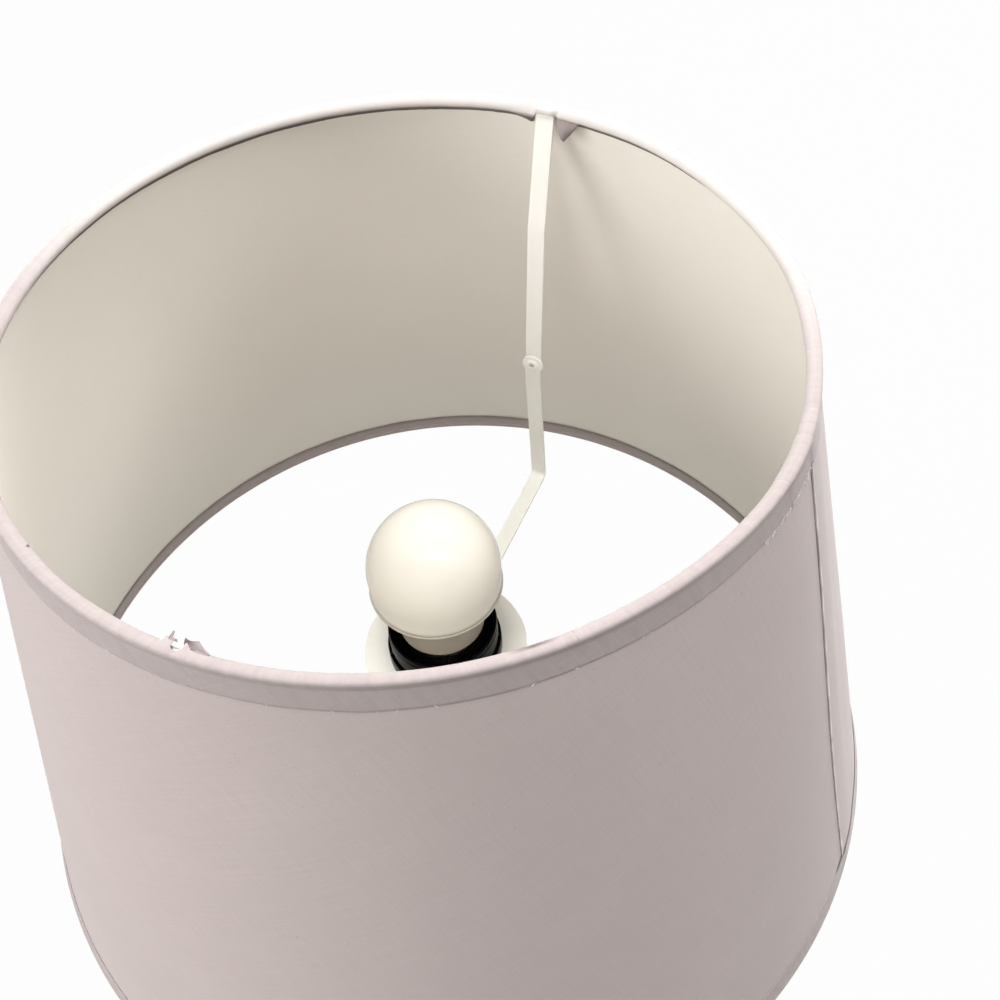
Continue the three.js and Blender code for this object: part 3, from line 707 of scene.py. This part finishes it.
def makeTopHem():
    azimuths, tailPoints = topHemAzimuths(), 14
    capped = resampled(cappedTail(), tailPoints)

    def outlineAt(azimuth):
        leg = hem["topLeg"] + 0.5 * edgeNoise(azimuth, 1.0)
        inner = hem["topInner"] + 0.35 * edgeNoise(azimuth, 6.0)
        first, second = turnFrom(azimuth, shade["hanger"]), turnFrom(azimuth, hem["notchPlace"])
        sag = bell((first - hem["sagPlace"]) / hem["sagWide"]) if first > 0 else 0.0
        kept = 1.0
        if abs(second) < hem["notchHalf"]:
            kept = 0.76 - 0.05 * cos(second / hem["notchHalf"] * pi / 2)
        torn = abs(turnFrom(azimuth, hem["tear"]))
        if torn < hem["tearHalf"]:
            kept = 0.66 + 0.12 * torn + 0.02 * edgeNoise(azimuth, 33.0, 4.0)
        lap = lapShare(azimuth)
        rise = seamLift(azimuth) + 0.03 * lap
        line = hemLine(azimuth, leg - 0.8 * lap, inner + 1.5 * sag, rise, 1.2 * sag)
        # the roll lies flat over a hanger's end
        beside = min(abs(first), abs(second + hem["stripSide"]))
        over = 1 - smoothStep((beside - hem["overHalf"]) / hem["overFade"])
        if over > 0:
            tails = zip(resampled(line[overWire:], tailPoints), capped)
            line = line[:overWire] + [tuple(a + (b - a) * over) for a, b in tails]
        return leaf(line, hem["thickness"] + 0.3 * lap, 56, kept)

    return swept("hem_top", azimuths, outlineAt, hemCloth, "top_hem", topHemMask)


def topHemMask(azimuth, down, out):
    # painted shade: darker in the fold under the roll
    if out < -0.4 and down > 1.0:  # in the fold under the roll
        return -1.0 * smoothStep((down - 1.0) / 0.8)
    if down < 0.6:
        # painted shade: a small dark wedge at the near rim's inner edge
        beside = abs(turnFrom(azimuth, hem["dent"])) / hem["dentHalf"]
        if beside < 1 and out < -0.2:
            return -0.9 * (1 - beside) * smoothStep((-0.2 - out) / 0.5)
        # painted light: the roll's inner bevel a little paler, and the roll on the far side much paler
        paintedLight = smoothStep((cos(azimuth - hem["paintedLitSide"] * degree) + 0.25) / 0.9)
        return 0.12 * smoothStep((0.2 - out) / 0.6) + 0.74 * paintedLight
    if down > hem["topLeg"] - 0.5 and out > 0:  # cut threads at the leg's edge
        return 0.35 * edgeNoise(azimuth, 41.0, 6.0)
    return 0.0


def bottomLine(leg, inner, rise):
    # up from the lower wire outside, round it, and up along the lining
    line = outerLeg(leg, rise)
    line += [(0.0, 1.02), (-0.75, 1.13), (-1.12, 1.02), (-1.3, 0.78), (-1.38, 0.4), (-1.4, 0.0)]
    line += [(-1.38, -0.5), (-1.24, -0.95), (-0.92, -1.28), (-0.4, -1.42), (0.2, -1.36), (0.8, -1.12)]
    return line + [(1.3 + (inner - 1.3) * i / 4, -0.80) for i in range(5)]


def makeBottomHem():
    def outlineAt(azimuth):
        leg = hem["bottomLeg"] + 0.35 * edgeNoise(azimuth, 11.0)
        inner = hem["bottomInner"] + 0.45 * edgeNoise(azimuth, 16.0)
        line = bottomLine(leg, inner, seamLift(azimuth))
        return [(wallLength - up, out) for up, out in leaf(line, hem["thickness"], 50)]

    def maskAt(azimuth, down, out):
        # painted shade at the upper edge, inside all round and outside to the right of the seam
        up = wallLength - down
        if out < -0.4:
            return -0.5 * smoothStep((up - 4.0) / 3.0)
        past = turnFrom(azimuth, shade["seam"])
        beside = smoothStep((past + 2.3) / 0.6) * (1 - smoothStep((past - 40) / 30))
        depth = 0.9 + 0.6 * (1 - smoothStep((past - 0.3) / 1.0))
        return -depth * beside * smoothStep((up - hem["bottomLeg"] + 1.8) / 1.2)

    return swept("hem_bottom", evenAzimuths(), outlineAt, hemCloth, "bottom_hem", maskAt)


def makeRing(name, down, node):
    sides = 12
    circle = arc(down, 0, shade["wire"], 0, 360 - 360 / sides, sides - 1)
    swept(name, evenAzimuths()[::2], lambda azimuth: circle, ringWire, node)


# cut corners of the hem beside a hanger, from root to tip in degrees along, millimetres out and up
tongueSizes = {
    "hem_tongue_1": {
        "place": shade["hanger"], "root": (-4.3, -1.2, -0.9), "tip": (-3.5, -2.9, -7.6),
        "width": 4.4, "narrow": 0.10, "belly": 0.4,
    },
    "hem_tongue_2": {
        "place": hem["notchPlace"], "root": (2.4, -1.85, 0.75), "tip": (1.3, -3.6, 1.5),
        "width": 3.2, "narrow": 0.6, "belly": -0.2,
    },
    "hem_tongue_3": {
        "place": hem["notchPlace"], "root": (-1.1, -1.7, 1.2), "tip": (-1.25, -4.0, 1.9),
        "width": 0.7, "narrow": 0.4, "belly": -0.1,
    },
}


def makeTongue(name):
    size = tongueSizes[name]
    columns, rows = 10, 14
    points, cuts = [], []
    for j in range(rows + 1):
        v = j / rows
        along, out, up = (a + (b - a) * v for a, b in zip(size["root"], size["tip"]))
        curve = sin(pi * v) * size["belly"]
        wide = size["width"] * (1 - (1 - size["narrow"]) * v ** 1.3)
        for i in range(columns + 1):
            u = i / columns - 0.5
            azimuth = (size["place"] + along + u * wide) * degree
            radius = shade["top"] + out - curve + 0.5 * cos(pi * u) * (v - 0.5)
            height = lift + shade["height"] + up - 0.3 * curve + 0.25 * sin(5 * u) * v
            points.append((radius * cos(azimuth), radius * sin(azimuth), height))
            # painted shade: darker all over, most towards the tip and along one side
            cuts.append((*points[-1][:2], -0.2 - 1.7 * v * (0.5 - u) ** 1.5))
    faces = gridFaces(columns + 1, columns, rows)
    piece = addPiece(name, points, faces, hemCloth, "shade", None, 80)
    keepCuts(piece, cuts)
    solid = piece.modifiers.new("thickness", "SOLIDIFY")
    solid.thickness = 0.3 * mm
    solid.offset = 0
    return piece


weld = {"place": (98.75, 0.0, -0.15), "half": (1.0, 1.2, 0.9), "fullness": 0.55}


def makeWeld():
    # the painted weld between the second hanger's end and the upper wire, seen in the hem's notch
    rows, columns = 14, 28
    points, faces = [], gridFaces(columns, columns, rows)
    turn = Matrix.Rotation(hem["notchPlace"] * degree, 4, "Z")
    lay = Matrix.Translation((0, 0, lift + shade["height"])) @ turn @ Matrix.Translation(weld["place"])

    def full(x):
        return copysign(abs(x) ** weld["fullness"], x)

    for j in range(rows + 1):
        up = pi * (j / rows - 0.5)
        for i in range(columns):
            angle = fullTurn * i / columns
            x, y = full(cos(up)) * full(cos(angle)), full(cos(up)) * full(sin(angle))
            point = [half * share for half, share in zip(weld["half"], (x, y, full(sin(up))))]
            point[2] += 0.1 * sin(3 * y)
            points.append(tuple(lay @ Vector(point)))
    piece = addPiece("hanger_weld", points, faces, whitePaint, "shade", None, 70)
    reshape(piece.data, lambda bm: bmesh.ops.remove_doubles(bm, verts=bm.verts, dist=1e-5))


loose = {"besideSeam": 60, "atHem": 60, "onSeam": 46, "inTear": 10, "joints": 6, "sides": 5}


def makeThreads():
    # loose ends of thread at the hem's edge and the seam's cut edge
    rng = random.Random(7)
    points, faces = [], []

    def strand(places, radius):
        base, sides = len(points), loose["sides"]
        for i, p in enumerate(places):
            along = Vector(places[min(i + 1, len(places) - 1)]) - Vector(places[max(i - 1, 0)])
            side = along.cross(Vector((0.3, 0.2, 1))).normalized()
            other = along.cross(side).normalized()
            r = radius * (1 - 0.6 * i / (len(places) - 1))
            for k in range(sides):
                a = fullTurn * k / sides
                points.append(tuple(Vector(p) + side * (r * cos(a)) + other * (r * sin(a))))
        for face in gridFaces(sides, sides, len(places) - 1):
            faces.append(tuple(base + p for p in face))

    def fray(azimuth, down, heading, length, out):
        path = []
        step = length / (loose["joints"] - 1)
        for _ in range(loose["joints"]):
            path.append(wall(azimuth, down, out))
            azimuth += step * cos(heading) / (shade["top"] + down * sin(tilt))
            down += step * sin(heading)
            out += rng.uniform(0.0, 0.10)
            heading += rng.uniform(-0.5, 0.5)
        strand(path, rng.uniform(0.05, 0.09))

    edge = hem["topLeg"] - 0.3
    for _ in range(loose["besideSeam"]):
        place = (shade["seam"] - rng.uniform(0.5, 14.0)) * degree
        fray(place, edge, rng.uniform(0.2, 2.9), rng.uniform(0.8, 2.6), fabricOuter + 0.22)
    for _ in range(loose["atHem"]):
        place = rng.uniform(0, fullTurn)
        fray(place, edge, rng.uniform(0.4, 2.7), rng.uniform(0.5, 1.3), fabricOuter + 0.2)
    for _ in range(loose["onSeam"]):
        down = rng.uniform(9, wallLength - 8)
        fray(shade["seam"] * degree, down, rng.uniform(2.2, 4.0), rng.uniform(0.3, 1.1), fabricOuter + 0.5)
    for _ in range(loose["inTear"]):
        place = (hem["tear"] + rng.uniform(-1, 1)) * degree
        fray(place, -0.6, rng.uniform(0.8, 2.2), rng.uniform(0.8, 1.8), -1.5)
    return addPiece("loose_threads", points, faces, threadFinish, "shade", None, 60)


fabricPiece = makeFabric()
makeLiner()
topHem = makeTopHem()
bottomHem = makeBottomHem()
makeRing("ring_top", 0.0, "top_ring")
makeRing("ring_bottom", wallLength, "bottom_ring")
tongues = [makeTongue(name) for name in tongueSizes]
makeWeld()
threads = makeThreads()
print("shade made")


# Strip carrier; here and for lampholder and bulb, heights are over the lower wire

for node in ("hanger_1", "hanger_2", "yoke_arm_1", "yoke_arm_2"):
    bevelled("painted_" + node, node, whitePaint, 0.22)

carrier = {
    "height": 105.5,  # of the tilt axis
    "head": 83.0,  # from the shade's middle to the rivet's head
    "tail": 86.45,
    "radius": 2.3,
    "shank": 1.5,
    "bore": 0.8,
    "discInner": 19.2,
    "discOuter": 28.7,
    "discFoot": 43.0,
    "discThick": 1.2,
}


def makeRivet(number):
    # a tubular rivet along the tilt axis, its rolled head towards the shade's middle
    top, end = carrier["head"] - 0.1, carrier["tail"] + 0.6
    radius, shank, bore = carrier["radius"], carrier["shank"], carrier["bore"]
    outline = [
        (0, top + 2.2), (bore, top + 2.2), (bore, top + 0.25), (bore + 0.18, top),
        (radius - 0.45, top + 0.02), (radius, top + 0.45), (radius, top + 0.75), (shank, top + 0.8),
        (shank, carrier["tail"]), (radius, carrier["tail"]), (radius - 0.3, end - 0.05), (0, end),
    ]
    points, faces = turnedFaces(softened(outline, 0.15, False), 40)
    angle = (shade["hanger"] + 180 * (number - 1)) * degree
    turn = Matrix.Rotation(angle, 4, "Z") @ Matrix.Rotation(pi / 2, 4, "Y")
    lay = Matrix.Translation((0, 0, lift + carrier["height"])) @ turn
    points = [tuple(lay @ Vector(p)) for p in points]
    node = "pivot_rivet_%d" % number
    addPiece("tube_rivet_%d" % number, points, faces, whitePaint, bodyOf(node), node, 50)


def makeDisc():
    inner, outer = carrier["discInner"], carrier["discOuter"]
    foot, top = carrier["discFoot"], carrier["discFoot"] + carrier["discThick"]
    turned("white_disc", [(outer, foot), (outer, top), (inner, top), (inner, foot)], whitePaint, "stand",
           "carrier_disc", lift, 160, 0.35)


for number in (1, 2):
    makeRivet(number)
makeDisc()
print("carrier made")


# Lampholder

holder = {
    "parting": 19.0,  # height at which the shell meets its base
    "shell": 21.3,  # radius
    "shoulder": 42.7,  # height at which the disc rests
    "neck": 18.9,
    "lip": 59.9,
    "mouth": 16.5,
    "sleeve": 13.65,  # clear radius at the screw sleeve
    "entry": 5.2,  # radius of the hole for the threaded pipe
}


def shellOutline():
    foot, shoulder, neck, lip = holder["parting"], holder["shoulder"], holder["neck"], holder["lip"]
    outside = [(holder["shell"] - 1.1, foot), (holder["shell"], foot + 19.2), (holder["shell"], shoulder)]
    outside += [(neck, shoulder), (neck, lip - 2.0), (neck - 0.15, lip - 1.8), (neck - 0.2, lip)]
    inside = [(17.3, lip - 1.3), (16.9, 55), (holder["mouth"], 50.8), (holder["sleeve"], 49.8)]
    inside += [(holder["sleeve"], 45.3), (18.0, 43.4), (18.3, foot)]
    return outside + arc(neck - 0.7, lip, 0.5, 20, 150, 6) + inside


def baseOutline():
    entry, top = holder["entry"], holder["parting"] - 0.3
    outside = [(entry, 0), (9, 0), (14.6, 1.6), (17.8, 4.4), (19.25, 7.5), (19.9, 12), (20.2, top)]
    inside = [(18.3, top), (18.0, 12), (17.35, 8.45), (15.5, 5.4), (13, 3.2), (9, 1.9), (entry, 1.9)]
    return outside + inside


def makeHolder():
    def gloss(name, outline, node, sides, soften, sharp=50):
        turned(name, outline, blackGloss, "stand", node, lift, sides, soften, sharp=sharp)

    collar = [(19.85, 44.5), (20.0, 44.75), (19.85, 50.0), (19.6, 50.3), (19.2, 50.3), (19.2, 44.5)]
    gloss("holder_body", shellOutline(), "holder_shell", 160, 0.25, 60)
    gloss("collar_ring", collar, "collar_nut", 160, 0.2)
    gloss("holder_base", baseOutline(), "holder_cap", 120, 0.3, 70)
    bevelled("spring_contact", "centre_contact", brass, 0.08)
    bevelled("thread_contact", "side_contact", brass, 0.08)
    for number in (1, 2):
        bevelled("wire_screw_%d" % number, "terminal_screw_%d" % number, brass, 0.12)
    bevelled("contact_block", "contact_insulator", bakelite, 0.25)


makeHolder()
print("lampholder made")


# Bulb

bulb = {
    "radius": 21.6,
    "centre": 92.15,
    "wall": 1.2,
    "skirt": 7.8,  # from the globe's centre down to its foot
    "neck": 14.6,
    "neckFoot": 62.0,
    "plug": 12.25,  # radius of the housing inside the screw cap
    "cap": 13.05,
    "capFoot": 43.0,
    "capTop": 61.7,
    "threadPitch": 3.629,
    "threadDepth": 0.72,
}


def globeOutline():
    # from the axis inside, down round the foot, to the axis outside
    r, c = bulb["radius"], bulb["centre"]
    inner, foot = r - bulb["wall"], c - bulb["skirt"]
    line = [(0, c + inner), *arc(0, c, inner, 90, 0, 24)[1:], (inner, foot), (r - 0.25, foot)]
    line += [(r, foot + 0.25), (r, foot + 2), (r, foot + 5)]
    return line + [*arc(0, c, r, 0, 90, 40)[:-1], (0, c + r)]


def housingOutline():
    rimTop = bulb["centre"] - bulb["skirt"] - 0.3
    rimFoot = rimTop - 1.0
    neck, foot, plug = bulb["neck"], bulb["neckFoot"], bulb["plug"]
    low, middle = Vector((neck, foot)), Vector((neck, foot + 13))
    high = Vector((bulb["radius"], rimFoot - 0.05))
    bead = arc(21.4, (rimTop + rimFoot) / 2, 0.5, -80, 80, 8)
    plate = [(20.3, rimTop), (20.3, rimTop - 1.9), (0, rimTop - 1.9)]
    return [(0, 43.3), (plug, 43.3), (plug, foot), *bent(low, middle, high, 16), *bead, *plate]


def capThread(z, angle):
    # the rolled round thread
    turn = (z / bulb["threadPitch"] - angle / fullTurn) * fullTurn
    hold = smoothStep((z - 43.4) / 1.2) * (1 - smoothStep((z - 59.6) / 1.2))
    return -bulb["threadDepth"] / 2 * hold * (1 - cos(turn))


def capOutline():
    # close points up the threaded flank, then back down inside
    foot, top, rows = bulb["capFoot"], bulb["capTop"], 74
    flank = [(bulb["cap"], foot + (top - foot) * i / rows) for i in range(rows + 1)]
    inside = [(12.6, top), (12.3, top), (11.9, 60), (11.9, 43.2), (10.0, 39.7), (10.0, 39.2), (11.0, 39.2)]
    return flank + inside


def makeBulb():
    points, faces = turnedFaces(globeOutline(), 128, lift)
    addPiece("opal_globe", points, faces, opal, "bulb", "bulb_globe", 50)
    turned("bulb_flank", housingOutline(), bulbPlastic, "bulb", "bulb_housing",
           lift, 128, 0.0, sharp=45)
    turned("screw_shell", capOutline(), nickel, "bulb", "bulb_screw_cap",
           lift, 96, 0.0, capThread, 60)
    glass = [(0, 36.0), (5.4, 36.0), (9.6, 38.8), (9.7, 39.7), (0, 39.7)]
    turned("cap_glass", glass, blackGlass, "bulb", "bulb_cap_insulator", lift, 64, 0.3)
    tip = [(0, 34.6), (2.2, 34.66), (3.6, 34.9), (4.4, 35.3), (4.5, 35.7), (0, 35.7)]
    turned("solder_tip", tip, nickel, "bulb_lift", "bulb_tip", lift, 64, 0.1)


makeBulb()
print("bulb made")


# Stand

stand = {
    "foot": 84.0,  # radius
    "coverFoot": 1.0,
    "edge": 8.0,  # height of the foot's upright edge
    "crown": 23.0,  # height of the foot
    "cover": 1.2,  # thickness
    "entry": 5.2,  # radius of the holes for the threaded pipe
    "felt": 82.5,
    "feltThick": 2.0,
    "stem": 8.0,
    "stemWall": 1.2,
    "seat": 11.0,
    "seatFoot": 226.2,
    "seatTop": 229.7,
    "pipe": 4.9,
    "pipeBore": 3.6,
    "pipeFoot": 3.6,
    "pipeTop": 237.9,
    "gap": 0.3,
}


def bezier(a, b, c, d, steps):
    a, b, c, d = (Vector(p) for p in (a, b, c, d))
    line = []
    for i in range(steps + 1):
        t, u = i / steps, 1 - i / steps
        line.append(tuple(a * u ** 3 + b * (3 * t * u ** 2) + c * (3 * t * t * u) + d * t ** 3))
    return line


def coverCurve(inset):
    side, crown = stand["foot"] - inset, stand["crown"] - inset
    return bezier((side, stand["edge"]), (side, 15), (56, crown - 7), (14, crown), 28)


def footOutline():
    sheet, entry, crown, low = stand["cover"], stand["entry"], stand["crown"], stand["coverFoot"]
    outside = [(stand["foot"], low), *coverCurve(0), (entry, crown)]
    return outside + [(entry, crown - sheet), *reversed(coverCurve(sheet)), (stand["foot"] - sheet, low)]


def makeStand():
    def satin(name, outline, node, sides, soften):
        turned(name, outline, blackSatin, "stand", node, 0, sides, soften)

    edge, thick = stand["felt"], stand["feltThick"]
    pad = [(0, 0), (edge - 0.1, 0), (edge, 0.4), (edge, thick - 0.3), (edge - 0.3, thick), (0, thick)]
    low, high, stem = stand["crown"] + stand["gap"], stand["seatFoot"] - stand["gap"], stand["stem"]
    tube = [(stem, low), (stem, high), (stem - stand["stemWall"], high), (stem - stand["stemWall"], low)]
    seat, top, entry = stand["seat"], stand["seatTop"], stand["entry"]
    collar = [(stem, stand["seatFoot"]), (seat, top - 1.6), (seat, top - 0.6), (seat - 0.6, top)]
    collar += [(entry, top), (entry, stand["seatFoot"])]
    pipe, bore, foot, end = stand["pipe"], stand["pipeBore"], stand["pipeFoot"], stand["pipeTop"]
    satin("foot_dome", footOutline(), "foot_cover", 160, 0.15)
    turned("felt_disc", pad, felt, "stand", "felt_pad", 0, 128, 0.2)
    satin("stem", tube, "stem_tube", 96, 0.35)
    satin("seat_collar", collar, "seat_ring", 96, 0.3)
    turned("threaded_pipe", [(pipe, foot), (pipe, end), (bore, end), (bore, foot)], brass, "stand",
           "threaded_tube", 0, 24, 0.0, sharp=60)
    bevelled("pipe_nut", "foot_nut", brass, 0.3)
    bevelled("pipe_washer", "foot_washer", nickel, 0.15)
    bevelled("iron_weight", "foot_weight", castIron, 0.6)
    bevelled("led_plate", "led_board", board, 0.1)
    bevelled("cord_bush", "cord_gland", blackPlastic, 0.2)


makeStand()
print("stand made")


# Floor, light and camera

def shownShare(tree):
    # full for what the camera sees, a little for what glossy pieces mirror
    path = tree.nodes.new("ShaderNodeLightPath")
    return Link(tree, path.outputs["Is Camera Ray"]) + Link(tree, path.outputs["Is Glossy Ray"]) * 0.12


def blended(tree, amount, first, second, output):
    blend = tree.nodes.new("ShaderNodeMixShader")
    feed(tree, blend.inputs[0], amount)
    tree.links.new(first.outputs[0], blend.inputs[1])
    tree.links.new(second.outputs[0], blend.inputs[2])
    tree.links.new(blend.outputs[0], output.inputs["Surface"])


def placed(name, data, place, axes):
    # an object that stands at a place, with its own axes along the three given ones
    thing = bpy.data.objects.new(name, data)
    thing.matrix_world = Matrix.Translation(place) @ Matrix(axes).transposed().to_4x4()
    bpy.context.scene.collection.objects.link(thing)
    return thing


floorSize = {"reach": 4.0, "steps": 12, "glow": 0.965}


def makeFloor():
    finish = Finish("floorPaper", 0.8)
    clouds = finish.grain(finish.place(), 30.0, 3.0).step(0.3, 0.7) * 0.3
    finish.set("Base Color", finish.mix(clouds, tone(164, 162, 159), tone(158, 156, 153)))
    glow = finish.tree.nodes.new("ShaderNodeEmission")
    output = next(n for n in finish.tree.nodes if n.type == "OUTPUT_MATERIAL")
    shown = shownShare(finish.tree).limited() * floorSize["glow"]
    blended(finish.tree, shown, finish.shader, glow, output)
    mesh = bpy.data.meshes.new("floor")
    reach, steps = floorSize["reach"], floorSize["steps"]
    places = [-reach + 2 * reach * i / steps for i in range(steps + 1)]
    corners = [(x, y, 0) for y in places for x in places]
    mesh.from_pydata(corners, [], gridFaces(steps + 1, steps, steps))
    mesh.materials.append(finish.material)
    floor = bpy.data.objects.new("floor", mesh)
    bpy.context.scene.collection.objects.link(floor)


sky = {"low": 0.05, "high": 0.12}
lampAim = (0.0, 0.0, 0.38)
lamps = {
    "left": {"size": (1.1, 1.2), "along": (0, 1, 0), "place": (-2.0, -0.2, 1.0), "power": 32.0},
    "back": {"size": (0.9, 1.0), "along": (1, 0, 0), "place": (0.73, 1.26, 1.6), "power": 36.0},
    "right": {"size": (1.0, 1.0), "along": (0, 1, 0), "place": (1.5, -0.1, 1.75), "power": 19.5},
    "top": {"size": (0.8, 0.8), "along": (1, 0, 0), "place": (-0.22, -0.4, 2.3), "power": 20.0},
    "front": {"size": (1.0, 0.8), "along": (1, 0, 0), "place": (-1.1, -1.6, 1.5), "power": 6.5},
    "window": {
        "size": (1.7, 0.3), "along": (1.71, -0.35, -0.29), "place": (0.285, -0.585, 1.95), "power": 5.5,
    },
}


def makeSky():
    # white behind the object; its light is softer low down and stronger overhead
    world = bpy.data.worlds.new("studio")
    bpy.context.scene.world = world
    world.use_nodes = True
    tree = world.node_tree
    tree.nodes.clear()
    direction = tree.nodes.new("ShaderNodeTexCoord")
    split = tree.nodes.new("ShaderNodeSeparateXYZ")
    tree.links.new(direction.outputs["Generated"], split.inputs[0])
    upward = Link(tree, split.outputs[2]).limited()
    plain = tree.nodes.new("ShaderNodeBackground")
    plain.inputs["Color"].default_value = (1.0, 1.0, 1.0, 1.0)
    soft = tree.nodes.new("ShaderNodeBackground")
    soft.inputs["Color"].default_value = (1.0, 0.99, 0.975, 1.0)
    feed(tree, soft.inputs["Strength"], upward * upward * sky["high"] + sky["low"])
    blended(tree, shownShare(tree).limited(), soft, plain, tree.nodes.new("ShaderNodeOutputWorld"))


def makeLamp(name):
    size = lamps[name]
    data = bpy.data.lights.new(name + "Softbox", "AREA")
    data.shape = "RECTANGLE"
    data.size, data.size_y = size["size"]
    data.energy = size["power"]
    back = (Vector(size["place"]) - Vector(lampAim)).normalized()
    across = Vector(size["along"])
    across = (across - back * across.dot(back)).normalized()
    lamp = placed(name + "Softbox", data, size["place"], (across, back.cross(across), back))
    lamp.visible_glossy = name == "window"  # the only one that glossy pieces mirror


view = {
    "place": (0.0, -0.20139, 0.60058),
    "yaw": 0.1125741,
    "pitch": 0.8901359,
    "roll": -0.0695744,
    "lens": 38.604,
}


def makeCamera():
    yaw, pitch, roll = view["yaw"], view["pitch"], view["roll"]
    forward = Vector((sin(yaw) * cos(pitch), cos(yaw) * cos(pitch), -sin(pitch)))
    level = Vector((cos(yaw), -sin(yaw), 0))
    upright = level.cross(forward)
    right = level * cos(roll) + upright * sin(roll)
    up = upright * cos(roll) - level * sin(roll)
    data = bpy.data.cameras.new("camera")
    data.lens = view["lens"]
    data.clip_start = 0.01
    camera = placed("camera", data, view["place"], (right, up, -forward))
    bpy.context.scene.camera = camera


makeFloor()
makeSky()
for name in lamps:
    makeLamp(name)
makeCamera()
bpy.context.scene.view_settings.view_transform = "Standard"
print("stage made")
